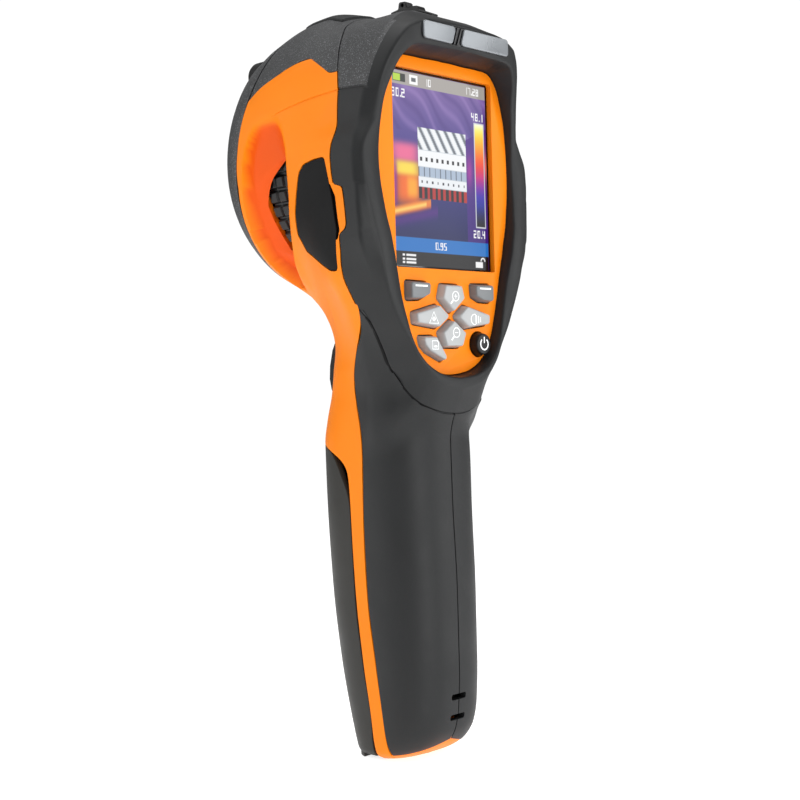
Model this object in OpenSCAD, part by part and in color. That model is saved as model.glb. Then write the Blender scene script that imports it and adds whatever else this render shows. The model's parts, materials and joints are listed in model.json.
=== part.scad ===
// Hand-held thermal imaging camera, an assembly of separate pieces.
// Frame: origin at the mouth of the tripod insert, in the middle of the flat base.
// +Z up the handle, +Y towards the lens, -Y towards the user, +X to the user's right.
// All lengths in millimetres.

/* [Display and keypad] */
// Width of the lit display area
display_w = 43.2; // [42:0.1:44]
// Height of the lit display area
display_h = 57.6; // [56:0.1:58]
// Height of the key tops above the face panel
key_proud = 2.6; // [2:0.1:2.8]

/* [Optics] */
// Outer radius of the ribbed focus wheel
focus_r = 34.6; // [34:0.1:34.8]
// Number of grip grooves round the focus wheel
focus_grooves = 48; // [40:1:52]
// Radius of the germanium front lens
lens_r = 14.5; // [13:0.5:15]

/* [Shells] */
// Wall thickness of the moulded shells
wall = 2.2; // [2:0.1:2.4]
// Width of the seams between shells
seam = 0.4; // [0.3:0.1:0.5]

/* [Battery] */
// Width of the battery pack
battery_w = 22; // [20:1:23]
// Depth of the battery pack
battery_d = 23; // [21:1:23]
// Height of the battery pack
battery_h = 72; // [66:1:74]

/* [Mounting] */
// Radius of the tripod thread's wall
tripod_r = 2.55; // [2.5:0.05:2.6]
// Depth of the tripod thread
tripod_depth = 8; // [7:0.5:9]

/* [Hidden] */
// Places that the other pieces are measured from
lens_z = 184;
face_z = 168;
display_z = 179;
panel_y = -18.4;
panel_t = 1.8;
front_y = 41.4;
head_origin = [0, 8, lens_z];

ORANGE = [0.95, 0.50, 0.07];
CHARCOAL = [0.17, 0.17, 0.18];
BLACK = [0.06, 0.06, 0.06];
GREY = [0.36, 0.36, 0.35];
LIGHT = [0.72, 0.73, 0.74];
METAL = [0.62, 0.63, 0.65];
GREEN = [0.08, 0.32, 0.18];
GOLD = [0.80, 0.62, 0.25];

// ---------------------------------------------------------------- outer form
// Half width of the head's rear part, by height
REAR_HALF = [[100, 18.5], [106, 18], [112, 17.5], [118, 19], [125, 22.5], [133, 27], [141, 31.5],
  [148, 35.2], [158, 37.6], [168, 38.4], [180, 38.4], [186, 37.4], [192, 35], [200, 33.2],
  [208, 30.8], [214, 28.2], [219, 25], [223, 20], [227, 11], [230, 0], [234, -20]];
// Half width, crown and keel of the lens barrel, by depth
BARREL_HALF = [[-29, 37], [-16, 38.3], [10, 38.5], [34, 38.5], [39, 37.6], [42, 36.2]];
CROWN = [[-29, 221.5], [-22, 224.5], [-15, 227], [-9, 229.2], [4, 232], [14, 233], [24, 232.5], [34, 229.5],
  [42, 225.5]];
KEEL = [[-29, 139], [10, 139], [20, 139.5], [29, 142], [34, 144.5], [42, 148.5]];
// Rear face of the head, by height
HEAD_BACK = [[100, -10], [106, -18], [112, -21.5], [118, -23.2], [126, -22.8], [140, -21],
  [180, -20], [200, -24], [215, -28.5], [240, -28.5]];
// Rear line, front line and half width of the handle, by height
HANDLE_BACK = [[0, -5], [2, -9.5], [5, -13.5], [10, -16.8], [16, -18.2], [30, -19], [50, -19],
  [80, -18], [98, -17.8], [106, -19.5], [112, -21]];
HANDLE_FRONT = [[0, 15.5], [6, 17.3], [14, 19.5], [29, 22.8], [54, 26], [82, 27.2], [97, 27.3],
  [104, 26], [112, 23.5], [120, 21.3], [128, 20], [136, 21]];
HANDLE_HALF = [[0, 14.5], [3, 16.2], [8, 17.2], [20, 17.9], [60, 18.8], [90, 19.3], [110, 19.5],
  [120, 20.5]];
HANDLE_SQUARENESS = 2.6;

function clamp01(v) = min(1, max(0, v));
function ease(v) = let(t = clamp01(v)) t * t * (3 - 2 * t);
function soft_max(a, b, k) = let(h = clamp01(0.5 + 0.5 * (a - b) / k)) b + (a - b) * h + k * h * (1 - h);
function soft_min(a, b, k) = -soft_max(-a, -b, k);

// Rough signed distance to the head: a tapered shield at the rear, an oval barrel in front
function barrel_value(p) = let(
    up = p.z > lens_z,
    half = lookup(p.y, BARREL_HALF),
    tall = up ? lookup(p.y, CROWN) - lens_z : lens_z - lookup(p.y, KEEL))
  (norm([p.x / half, (p.z - lens_z) / tall]) - 1) * (up ? 38 : 36);
function shield_value(p) = (abs(p.x) - lookup(p.z, REAR_HALF)) * 0.8;
function head_value(p) = let(
    t = ease((p.y + 6) / 24),
    side = shield_value(p) * (1 - t) + barrel_value(p) * t,
    capped = soft_max(side, p.z - lookup(p.y, CROWN), 2),
    fronted = soft_max(capped, p.y - front_y, 3),
    backed = soft_max(fronted, lookup(p.z, HEAD_BACK) - p.y, 2.5))
  soft_max(backed, 100 - p.z, 10);
function handle_value(p) = let(
    back = lookup(p.z, HANDLE_BACK),
    front = lookup(p.z, HANDLE_FRONT),
    n = HANDLE_SQUARENESS,
    q = pow(pow(abs(p.x) / lookup(p.z, HANDLE_HALF), n)
      + pow(abs(p.y - (back + front) / 2) / ((front - back) / 2), n), 1 / n))
  soft_max(soft_max((q - 1) * 20, p.z - 170, 6), -p.z, 3);
function body_value(p) = soft_min(head_value(p), handle_value(p), lookup(p.y, [[-16, 4], [8, 13]]));

// Finger scoop in each flank: a hollow about the lens axis, by angle from straight up.
// Its floor dips below the focus wheel's bay at the rear, so the wheel shows there.
SCOOP_MID = 115;
SCOOP_SPAN = 42;
SCOOP_SQUARENESS = 3.6;
SCOOP_FLOOR = 36.4;
SCOOP_DIP = 2.2;
// Rear and front edges of the scoop, and front edge of the window on the wheel, by that angle
SCOOP_REAR = [[70, 12.4], [79, 11.8], [90, 11.2], [105, 11.7], [118, 14], [129, 17.1], [140, 20.5],
  [148, 21.9], [158, 23]];
SCOOP_FRONT = [[70, 28.6], [76, 29.2], [88, 30.1], [99.5, 30.7], [113, 31.7], [125, 33],
  [137, 33.2], [158, 32]];
SCOOP_WINDOW = [[88, 11.6], [92.6, 14.9], [99.5, 19.5], [110, 23], [119, 25.2], [127.6, 26.1],
  [136, 25.1], [143, 21.8], [158, 23]];
function scoop_value(p) = let(
    x = abs(p.x),
    z = p.z - lens_z,
    a = x < 1 ? 180 : atan2(x, z),
    rear = lookup(a, SCOOP_REAR),
    front = lookup(a, SCOOP_FRONT),
    u = abs(a - SCOOP_MID) / SCOOP_SPAN,
    v = abs(p.y - (rear + front) / 2) / ((front - rear) / 2),
    outline = (pow(pow(u, SCOOP_SQUARENESS) + pow(v, SCOOP_SQUARENESS), 1 / SCOOP_SQUARENESS) - 1) * 10,
    near = max(0.5, lookup(a, SCOOP_WINDOW) - rear),
    floor_r = SCOOP_FLOOR - SCOOP_DIP * ease(1 - (p.y - rear) / (2 * near)))
  soft_max(outline, floor_r - norm([x, z]), 2);
function scooped_value(p) = soft_max(body_value(p), -scoop_value(p), 1.6);

// Distance along a ray from inside the body to its skin, by halving
function reach(o, d, lo, hi, scooped = false, n = 12) = n == 0 ? (lo + hi) / 2 : let(
    m = (lo + hi) / 2,
    p = o + m * d,
    v = scooped ? scooped_value(p) : body_value(p))
  v < 0 ? reach(o, d, m, hi, scooped, n - 1) : reach(o, d, lo, m, scooped, n - 1);
function unit(v) = v / norm(v);
function turn(a, b, s) = let(
    w = acos(min(1, max(-1, a * b))))
  w < 0.5 ? unit(a + (b - a) * s) : (a * sin((1 - s) * w) + b * sin(s * w)) / sin(w);

// A row of skin points from point a round to point b, seen from inner point o
function skin_row(o, a, b, count, scooped = false) = [for (i = [0:count])
  let(s = i / count, d = turn(unit(a - o), unit(b - o), s),
    r = norm(a - o) * (1 - s) + norm(b - o) * s)
  o + d * reach(o, d, r * 0.66, r * 1.4 + 1.5, scooped)];
function sunk(rows, origins, depth) = [for (i = [0:len(rows) - 1]) [for (p = rows[i])
  p - unit(p - origins[i]) * depth]];

// Closed shell between an outer and an inner grid of points
module shell(outer, inner) {
  rows = len(outer);
  cols = len(outer[0]);
  flat = concat([for (r = outer) each r], [for (r = inner) each r]);
  base = rows * cols;
  function id(i, j) = i * cols + j;
  quads = concat(
    [for (i = [0:rows - 2], j = [0:cols - 2]) [id(i, j), id(i, j + 1), id(i + 1, j + 1), id(i + 1, j)]],
    [for (i = [0:rows - 2], j = [0:cols - 2])
      [base + id(i, j), base + id(i + 1, j), base + id(i + 1, j + 1), base + id(i, j + 1)]],
    [for (i = [0:rows - 2]) [id(i, 0), id(i + 1, 0), base + id(i + 1, 0), base + id(i, 0)]],
    [for (i = [0:rows - 2])
      [id(i, cols - 1), base + id(i, cols - 1), base + id(i + 1, cols - 1), id(i + 1, cols - 1)]],
    [for (j = [0:cols - 2]) [id(0, j), base + id(0, j), base + id(0, j + 1), id(0, j + 1)]],
    [for (j = [0:cols - 2])
      [id(rows - 1, j), id(rows - 1, j + 1), base + id(rows - 1, j + 1), base + id(rows - 1, j)]]);
  polyhedron(flat, [for (q = quads) each [[q[0], q[1], q[2]], [q[0], q[2], q[3]]]], convexity = 6);
}

// Closed ring whose section is a closed loop of points, one loop for each step round
module ring(loops) {
  steps = len(loops);
  sides = len(loops[0]);
  quads = [for (i = [0:steps - 1], j = [0:sides - 1]) let(
      a = i * sides + j, b = i * sides + (j + 1) % sides,
      c = ((i + 1) % steps) * sides + (j + 1) % sides, d = ((i + 1) % steps) * sides + j)
    [a, b, c, d]];
  polyhedron([for (l = loops) each l], [for (q = quads) each [[q[0], q[1], q[2]], [q[0], q[2], q[3]]]],
    convexity = 6);
}

// Joins its children into one faceted moulding
module moulding() resize([0, 0, 0]) children();
module both_sides() {
  children();
  mirror([1, 0, 0]) children();
}
function flip(p) = [-p.x, p.y, p.z];

// ---------------------------------------------------------------- seam lines (right side)
// Each row: point on the rear edge of the orange housing, point on its front edge, inner point
// How far each half runs past the middle, so that the two halves join
OVERLAP = -0.6;
HOUSING_ROWS = [
  [[31.7, -4.8, 208], [34.9, 31.3, 203.8], head_origin],
  [[33.5, -6.7, 201.8], [36.6, 32.1, 198], head_origin],
  [[35, -7.6, 195.4], [37.7, 32.6, 192.5], head_origin],
  [[36.7, -8.8, 188.8], [38.4, 33.1, 186.5], head_origin],
  [[38, -8.1, 184], [38.5, 33.3, 182], head_origin],
  [[38.4, -8.4, 179], [38.2, 33.7, 177.5], head_origin],
  [[38.3, -9.1, 174.2], [37, 34.1, 173], [0, 8, 183]],
  [[38.4, -12.9, 172], [36.2, 34.4, 170.5], [0, 8, 182]],
  [[38.4, -13.4, 167], [34, 34.9, 166], [0, 8, 181]],
  [[38, -13.9, 162], [30.8, 35.5, 161], [0, 8, 179]],
  [[37.3, -10.7, 158.6], [27.5, 36, 157], [0, 8, 176]],
  [[36.3, -10.1, 154.2], [23, 36.4, 153.5], [0, 8, 173]],
  [[34.7, -9.1, 150], [17, 36.8, 150.5], [0, 8, 169]],
  [[32.5, -8.6, 146], [10, 37, 149], [0, 7, 164]],
  [[29.5, -9, 140], [4, 37, 148.2], [0, 7, 159]],
  [[26.3, -7.6, 136.6], [OVERLAP, 35, 146.5], [0, 6, 152]],
  [[22.8, -4.8, 133], [OVERLAP, 28, 142], [0, 5, 144]],
  [[21, -2.5, 129], [OVERLAP, 22, 135], [0, 4, 136]],
  [[20.5, -0.6, 125], [OVERLAP, 20.5, 128], [0, 4, 129]],
  [[20.4, 1, 121.4], [OVERLAP, 21, 121.4], [0, 4, 122]],
  [[20.2, 2.4, 117.6], [OVERLAP, 22, 117], [0, 4, 117]],
  [[19.8, 3.1, 113.4], [OVERLAP, 23.2, 112.5], [0, 4, 113]],
  [[19.5, 2.6, 107.8], [OVERLAP, 25, 106], [0, 4, 107]],
  [[19.4, 1.7, 102.7], [OVERLAP, 26.3, 102], [0, 4, 102]],
  [[19.3, 1.3, 97.2], [OVERLAP, 27.2, 97.2], [0, 3, 97.2]]
];
// The same for the two strips beside the battery cover
STRIP_ROWS = [
  [[19.3, 1.3, 98.4], [15.1, 21.7, 98.4], [0, 3, 98.4]],
  [[19.3, 1.2, 96.6], [16.4, 19.4, 96.6], [0, 3, 96.6]],
  [[19.2, 1.3, 94.5], [18, 16.3, 95.2], [0, 3, 94.5]],
  [[19.2, 1.4, 91], [19, 11.9, 93.2], [0, 3, 92]],
  [[19.2, 1.5, 87.5], [19.2, 8, 88.7], [0, 3, 88]],
  [[19.2, 1.5, 83.5], [19.2, 7.4, 83.6], [0, 3, 83.5]],
  [[18.9, 1.8, 66], [18.9, 6.8, 66], [0, 3, 66]],
  [[18.6, 1.2, 49], [18.6, 6.3, 49], [0, 2, 49]],
  [[18.2, -1, 30.5], [18.2, 4.2, 30.5], [0, 1, 30.5]],
  [[17.3, -3.2, 11.3], [17.4, 1.4, 11.3], [0, 0, 11.3]],
  [[16.2, -3.5, 5], [16.4, 1.4, 5], [0, 0, 5]],
  [[14.6, -3.6, 1.6], [15.2, 1.4, 1.6], [0, 0, 2.5]]
];
// Upper edge of the orange housing, under the top cover
HOUSING_TOP = [[31.7, -4.8, 208], [32.1, -2.2, 208.2], [31.6, 1.8, 210.5], [30.9, 5, 212.4],
  [30.3, 8, 214.1], [30.6, 10.5, 213.7], [31.2, 14.5, 212.4], [32.4, 19.8, 210.4],
  [33.8, 27.4, 207], [34.9, 31.3, 203.8]];
HOUSING_COLS = len(HOUSING_TOP) - 1;

// Depth of the rear housing's front seam, by angle round the face from straight up
REAR_SEAM = [[0, 9], [9, 7.6], [17, 4.4], [26.2, -0.9], [32.9, -3.1], [38.3, -4.8], [44.8, -6.7],
  [51.9, -7.6], [60.5, -8.8], [67.2, -8.1], [73.5, -8.4], [80.8, -9.1], [84.1, -12.9], [99, -13.9],
  [104.1, -10.7], [110.8, -10.1], [117.4, -9.1], [124.1, -8.6], [134, -9], [142.8, -11.8],
  [149, -12.5], [155.8, -13.4], [159.8, -14.8], [162.1, -16.9], [166.5, -18.9], [171.3, -19.6],
  [180, -19.8]];
// Radius and depth of the hood's outer rim, by the same angle
RIM_RADIUS = [[0, 53.1], [10.5, 53.7], [18.8, 55.2], [24.5, 55.2], [28.2, 54], [32.7, 51.7],
  [37, 49.1], [41.7, 46.1], [44.8, 44.1], [50, 41.2], [54.7, 39.6], [59, 39.6], [64.6, 39.8],
  [73.6, 38.3], [86.2, 35.9], [100.5, 34.8], [114.5, 35.3], [125.6, 37.3], [137.8, 40.5],
  [144.8, 42.8], [152.9, 45.7], [160.6, 49.8], [169.1, 52.6], [180, 54]];
RIM_DEPTH = [[0, -28.4], [18.8, -28.2], [24.5, -27.6], [28.2, -26.6], [32.7, -25], [37, -23.4],
  [41.7, -22.1], [44.8, -21.6], [54.7, -20.6], [64.6, -20.2], [86.2, -21], [100.5, -21.8],
  [114.5, -22.2], [137.8, -21.6], [152.9, -22.2], [169.1, -23.3], [180, -23.4]];
// Radius of the face panel's outline, by the same angle
PANEL_RADIUS = [[0, 44.2], [10, 44.8], [20, 46.9], [24, 48], [26.1, 48.3], [28.5, 47.9], [32, 46.7],
  [37.6, 43.6], [43.1, 40.8], [52.6, 36.3], [64.4, 32.4], [78.4, 29.7], [92, 28.4], [105.4, 28.2],
  [118.6, 29.3], [129.8, 31.5], [139.9, 35.3], [147.3, 39.2], [153, 43], [158.4, 46.3],
  [164.4, 48.7], [171.4, 50], [180, 50.4]];
// Front seam of the barrel's orange shell: a plane that leans back a little
function ring_seam(z) = 33.3 - 0.095 * (z - lens_z);
// Angle about the lens axis of the top cover's side edge, by depth
COVER_EDGE = [[-4.8, 52.9], [-2.2, 53], [1.8, 50], [5, 47.2], [8, 45.2], [10.5, 45.6], [14.5, 47.6],
  [19.8, 50.6], [27.4, 55.8], [31.3, 60.4]];
// Edge of the battery cover, from the middle of its top to the base: skin point and inner point
COVER_ROWS = [
  [[15.1, 21.7, 96.6], [0, 3, 96.4]], [[18, 16.3, 94.5], [0, 3, 93.5]], [[18.8, 13.2, 91], [0, 3, 90.5]],
  [[19.1, 10.8, 87], [0, 3, 87]], [[19.2, 8.6, 82.5], [0, 3, 82.5]], [[19.1, 7.5, 78], [0, 3, 78]],
  [[18.9, 7.2, 66], [0, 3, 66]], [[18.6, 6.7, 49], [0, 2, 49]], [[18.2, 4.6, 30.5], [0, 1, 30.5]],
  [[17.4, 2, 11.3], [0, 0, 11.3]], [[16.4, 2.3, 5], [0, 0, 5]], [[14.8, 2.5, 1.2], [0, 0, 1.2]]
];
// Grip panel rows: rear edge point, front edge point, inner point
GRIP_ROWS = [
  [[27.6, -10, 137.6], [27.9, -8.7, 137.9], [0, 6, 150]],
  [[25.9, -11.9, 132.6], [22.4, -5.1, 132.5], [0, 5, 142]],
  [[23.7, -12.8, 128], [20.7, -2.9, 128.7], [0, 4, 134]],
  [[20.7, -13.8, 121.4], [20.2, 0.2, 122.7], [0, 3, 125]],
  [[18.6, -15.2, 116.4], [19.9, 2, 117.6], [0, 3, 119]],
  [[17.2, -17.2, 113], [19.5, 2.6, 113.4], [0, 3, 115]],
  [[13.6, -19, 109.2], [19.3, 2.4, 110], [0, 3, 111]],
  [[9, -19.4, 106.6], [19.2, 2.1, 107.8], [0, 3, 108]],
  [[0.25, -19.5, 105], [19.1, 1.4, 104.3], [0, 2, 105]],
  [[0.25, -18.2, 99], [19, 0.8, 98.5], [0, 2, 99]],
  [[0.25, -17.9, 90], [19, 0.9, 90], [0, 2, 90]],
  [[0.25, -18.2, 75], [18.8, 1.3, 75], [0, 2, 75]],
  [[0.25, -19, 52], [18.5, 0.9, 52], [0, 1, 52]],
  [[0.25, -19, 30.5], [18, -1.4, 30.5], [0, 0, 30.5]],
  [[0.25, -18, 15], [17.2, -3.1, 15], [0, 0, 15.5]],
  [[0.25, -15.6, 8], [16.6, -3.8, 8], [0, 0, 9]],
  [[0.25, -12.6, 4], [15.6, -4, 4], [0, 0, 6]],
  [[0.25, -10, 2.2], [14.6, -4.1, 2.2], [0, 0, 4.5]]
];

// Angles round the face at which its ring pieces are cut, shared by both halves
HALF_TURN = [0, 6, 12, 18, 22.5, 25.5, 28.5, 33, 38.3, 44.8, 51.9, 58, 62.5, 67.2, 73.5, 80.8, 84.1,
  92, 99, 104.1, 110.8, 117.4, 124.1, 134, 142.8, 149, 155.8, 160.5, 166.5, 173];
FULL_TURN = concat(HALF_TURN, [180], [for (i = [len(HALF_TURN) - 1:-1:1]) 360 - HALF_TURN[i]]);
function fold(a) = a > 180 ? 360 - a : a;
function out_from(zc, a, r, y) = [r * sin(a), y, zc + r * cos(a)];
function skin_radius(zc, a, y, guess) =
  reach([0, y, zc], [sin(a), 0, cos(a)], guess * 0.6, guess * 1.5);
function panel_outline(gap) = [for (a = FULL_TURN)
  let(r = lookup(fold(a), PANEL_RADIUS) - gap) [r * sin(a), face_z + r * cos(a)]];

// ---------------------------------------------------------------- shells
function housing_rows() = [for (i = [0:len(HOUSING_ROWS) - 1]) let(r = HOUSING_ROWS[i])
  i > 0 ? skin_row(r[2], r[0], r[1], HOUSING_COLS, true)
    : [for (p = HOUSING_TOP) r[2] + unit(p - r[2]) * reach(r[2], unit(p - r[2]), 28, 56, true)]];
function origins_of(table) = [for (r = table) r[2]];
// A shell patch between two depths below the skin, from a table of rows
module patch(table, count, top, depth) {
  rows = [for (r = table) skin_row(r[2], r[0], r[1], count)];
  shell(sunk(rows, origins_of(table), top), sunk(rows, origins_of(table), depth));
}
// Ledge under the upper corners of the battery cover: the floor of the finger pockets
LEDGE_ROWS = [
  [[19.3, 3.2, 98.1], [14.4, 22.2, 98.1], [0, 3, 98.1]],
  [[19.2, 4, 92], [17.2, 18, 92], [0, 3, 92]],
  [[19.2, 4.5, 86], [18.5, 13.5, 86], [0, 3, 86]],
  [[19.2, 5, 79], [19, 10.5, 79], [0, 3, 79]]
];
module housing_half() {
  rows = housing_rows();
  shell(rows, sunk(rows, origins_of(HOUSING_ROWS), wall));
  patch(STRIP_ROWS, 3, -0.02, wall + 0.03);
  patch(LEDGE_ROWS, 4, wall - 0.1, wall + 1.2);
  for (z = EAR_ZS) {
    translate([EAR_X, -7.6, z]) rotate([-90, 0, 0]) cylinder(r = 2.8, h = 6.2, $fn = 32);
    translate([EAR_X, -7.6, z - 0.8]) cube([5.1, 6.2, 1.6]);
  }
  translate([8.2, 0, 0]) at_pivot() cylinder(r = 2.4, h = 7.6, $fn = 32);
}
// Outline of the base: a rounded oblong
module base_outline() polygon([for (a = [0:8:352])
  let(c = cos(a), s = sin(a), q = 2 / HANDLE_SQUARENESS)
  [15.2 * sign(c) * pow(abs(c), q), 3.2 + 12.4 * sign(s) * pow(abs(s), q)]]);
module base_plate() {
  linear_extrude(1.8) intersection() {
    base_outline();
    union() {
      translate([-16, -12]) square([32, 13.6]);
      translate([-7.4, 0]) square([14.8, 5.2]);
    }
  }
  cylinder(r = 5.2, h = 9.4, $fn = 32);
  both_sides() difference() {
    translate([5.6, 2.8, 1.2]) cube([1.5, 3.4, 4]);
    at_cover_hinge() cylinder(r = 0.84, h = 20, $fn = 32);
  }
}
HINGE_Y = 4.8;
HINGE_Z = 3;
module at_cover_hinge() translate([0, HINGE_Y, HINGE_Z]) rotate([0, 90, 0]) children();
// Outline of the side cover, seen from the side: rounded in front, straight at the rear
COVER_SHAPE = [[-5.4, 181.4], [-0.6, 181], [3.4, 179.2], [6.4, 175.4], [8.6, 169.6], [9.8, 164.4],
  [9.6, 160.4], [6.8, 156.6], [1.4, 152.8], [-3.6, 150.2], [-6.4, 150.4], [-7.2, 153.6],
  [-8.4, 158.6], [-8.4, 162], [-7.4, 168], [-7, 174.6], [-6.6, 179]];
module flank_prism(side, grow, x0, x1) multmatrix([[0, 0, side, 0], [1, 0, 0, 0], [0, 1, 0, 0]])
  translate([0, 0, x0]) linear_extrude(x1 - x0)
    polygon([for (p = COVER_SHAPE) let(d = p - [0.5, 166]) p + unit(d) * grow]);
// Skin of one flank between two depths below the surface
module flank_slab(side, top, depth) {
  ys = [-14:3.5:14];
  zs = [186:-4:146];
  function flank(y, z, down) = let(x = reach([0, y, z], [1, 0, 0], 14, 44) - down)
    [side * x, y, z];
  outer = [for (z = zs) [for (y = ys) flank(y, z, top)]];
  inner = [for (z = zs) [for (y = ys) flank(y, z, depth)]];
  if (side > 0) shell(outer, inner);
  else shell(inner, outer);
}
module flank_recess(side) intersection() {
  flank_prism(side, 0.35, 10, 44);
  flank_slab(side, -2, 1.5);
}
module front_housing() color(ORANGE) moulding() difference() {
  union() {
    both_sides() housing_half();
    base_plate();
  }
  flank_recess(1);
  flank_recess(-1);
  focus_bay();
  ring_cut();
  socket_cuts();
  trigger_slot();
  translate([0, 0, -1]) cylinder(r = 4.24, h = 12, $fn = 48);
  both_sides() {
    for (z = EAR_ZS) translate([EAR_X, -10, z]) rotate([-90, 0, 0]) cylinder(r = 1.4, h = 8, $fn = 24);
    at_pivot() cylinder(r = 1.04, h = 10, $fn = 40);
  }
}
module focus_bay() along_lens(WHEEL_BACK - 0.6) cylinder(r = focus_r + 0.7, h = WHEEL_T + 1.2, $fn = 96);
// Everything in front of the plane where the front ring begins
module ring_cut() along_x(-60, 60) polygon([[ring_seam(232) - seam / 2, 232], [60, 232], [60, 140],
  [ring_seam(140) - seam / 2, 140]]);
module along_lens(y) translate([0, y, lens_z]) rotate([-90, 0, 0]) children();

function rear_loop(angle) = let(
    a = fold(angle),
    y0 = lookup(a, REAR_SEAM) - seam / 2,
    yr = lookup(a, RIM_DEPTH),
    rr = lookup(a, RIM_RADIUS),
    rp = lookup(a, PANEL_RADIUS) + 0.25,
    steps = [for (f = [0, 0.35, 0.72]) let(y = y0 + (yr - y0) * f)
      [y, skin_radius(face_z, a, y, rr * (1 - f) * 1.08 + rr * f)]],
    lip = max(0, -22.5 - yr) * 0.1,
    well = min(rp + wall, rr - 1.2),
    vault = max(rr - wall, well + 0.05))
  [for (q = [[steps[0][1], steps[0][0]], [steps[1][1], steps[1][0]], [steps[2][1], steps[2][0]],
      [rr, yr], [rp + 0.8 + lip, yr + 0.3], [rp, panel_y + 0.2], [rp, panel_y + panel_t + 0.6],
      [well, panel_y + panel_t + 0.6], [well + lip, yr + wall + 0.4], [vault, yr + wall + 0.4],
      [max(steps[1][1] - wall, well + 0.1), steps[1][0]], [steps[0][1] - wall, steps[0][0]]])
    out_from(face_z, angle, q[0], q[1])];
module rear_housing() color(CHARCOAL) moulding() difference() {
  ring([for (a = FULL_TURN) rear_loop(a)]);
  plate_pocket();
}
PLATE_Z = 217.5;
PLATE_Y = -28;
module plate_pocket() facing(PLATE_Y + 0.4, 4) translate([0, PLATE_Z]) plate_outline(0.3);
module plate_outline(grow) offset(r = 1.2, $fn = 24) offset(delta = grow - 1.2)
  square([38, 5.2], center = true);

function cover_rows() = [for (i = [0:10]) let(
    t = i / 10, edge_y = -4.8 + t * 36.1, edge = lookup(edge_y, COVER_EDGE) - 0.35)
  [for (j = [0:12]) let(
      s = 1 - 2 * j / 12,
      a = s * edge,
      seam_y = lookup(abs(a) * 0.73, REAR_SEAM) + seam / 2,
      nose = ring_seam(lens_z + 44 * cos(a)) - seam / 2,
      y = seam_y * (1 - t) + nose * t)
    out_from(lens_z, a, skin_radius(lens_z, a, y, 44), y)]];
module top_cover() color(GREY) moulding() difference() {
  rows = cover_rows();
  shell(rows, [for (r = rows) [for (p = r) let(d = unit([p.x, 0, p.z - lens_z])) p - d * wall]]);
  translate([-13.7, 10.4, 224]) cube([27.4, 24, 20]);
}
function trim_rows(lift) = [for (y = [10.8:2.9:28.3]) [for (j = [0:8]) let(a = 16 - j * 4)
  out_from(lens_z, a, skin_radius(lens_z, a, y, 46) + lift, y)]];
module top_trim() color(CHARCOAL) moulding() shell(trim_rows(0.7), trim_rows(-2.6));

function front_loop(angle) = let(
    a = fold(angle),
    open = 25.6,
    y0 = ring_seam(lens_z + 38 * cos(a)) + seam / 2,
    r0 = skin_radius(lens_z, a, y0, 38),
    r1 = skin_radius(lens_z, a, 38.4, 37),
    r2 = skin_radius(lens_z, a, 40.4, 36))
  [for (q = [[r0, y0], [r1, 38.4], [r2, 40.4], [r2 - 1.6, front_y], [open, front_y], [open, 35.6],
      [open + 2, 35.6], [open + 2, 39], [r1 - 3, 39], [r0 - wall, y0]])
    out_from(lens_z, angle, q[0], q[1])];
module front_ring() color(GREY) difference() {
  moulding() ring([for (a = [0:7.5:352.5]) front_loop(a)]);
  for (x = [-17, 17]) translate([x, 30, 215.5]) rotate([-90, 0, 0]) cylinder(r = 4.3, h = 14, $fn = 32);
  translate([0, 30, 219.5]) rotate([-90, 0, 0]) cylinder(r = 2.1, h = 14, $fn = 32);
}

function grip_rows() = [for (r = GRIP_ROWS) skin_row(r[2], r[0], r[1], 7)];
module grip_half() {
  rows = grip_rows();
  origins = [for (r = GRIP_ROWS) r[2]];
  difference() {
    shell(rows, sunk(rows, origins, wall));
    strap_slots();
  }
}
module strap_slots() for (z = [13.5, 19.8]) translate([-3.2, -24, z - 0.9]) cube([6.4, 12, 1.8]);
module grip_right() color(CHARCOAL) moulding() grip_half();
module grip_left() color(CHARCOAL) moulding() mirror([1, 0, 0]) grip_half();

function battery_cover_rows() = [for (r = COVER_ROWS) skin_row(r[1], r[0], flip(r[0]), 12)];
module battery_cover() color(CHARCOAL) moulding() {
  rows = battery_cover_rows();
  origins = [for (r = COVER_ROWS) r[1]];
  shell(rows, sunk(rows, origins, wall - 0.5));
  linear_extrude(1.6) intersection() {
    base_outline();
    translate([-16, 7.6]) square([32, 20]);
  }
  both_sides() difference() {
    translate([8.2, 3, 1.2]) cube([3.2, 5.6, 3.6]);
    at_cover_hinge() cylinder(r = 0.86, h = 20, $fn = 32);
  }
}

// ---------------------------------------------------------------- face, display and keys
SOFT_KEY = [[9.8, 145.4], [19, 145.6], [19, 139.8], [13.6, 140], [10.2, 141.4]];
UP_KEY = [[-4, 145], [4, 145], [5.3, 140.6], [0, 136.2], [-5.3, 140.6]];
SIDE_KEY = [[1.5, 135.2], [6.2, 138.8], [17, 136.2], [16.6, 132.8], [6.6, 131.6]];
DOWN_KEY = [[0, 134.4], [5.7, 130.4], [3.8, 125.8], [-3.8, 125.8], [-5.7, 130.4]];
SAVE_KEY = [[-14.4, 129.3], [-7.9, 129.4], [-3.5, 123.2], [-4.2, 121.4], [-11.4, 124.4], [-13.6, 126.4]];
POWER_AT = [13.2, 126.9];
POWER_R = 3.7;
// Depth of the keys' rear faces, and the rim that keeps each key behind the panel
KEY_BACK = -15.9;
FLANGE = 0.35;
FLANGE_T = 0.5;
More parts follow.
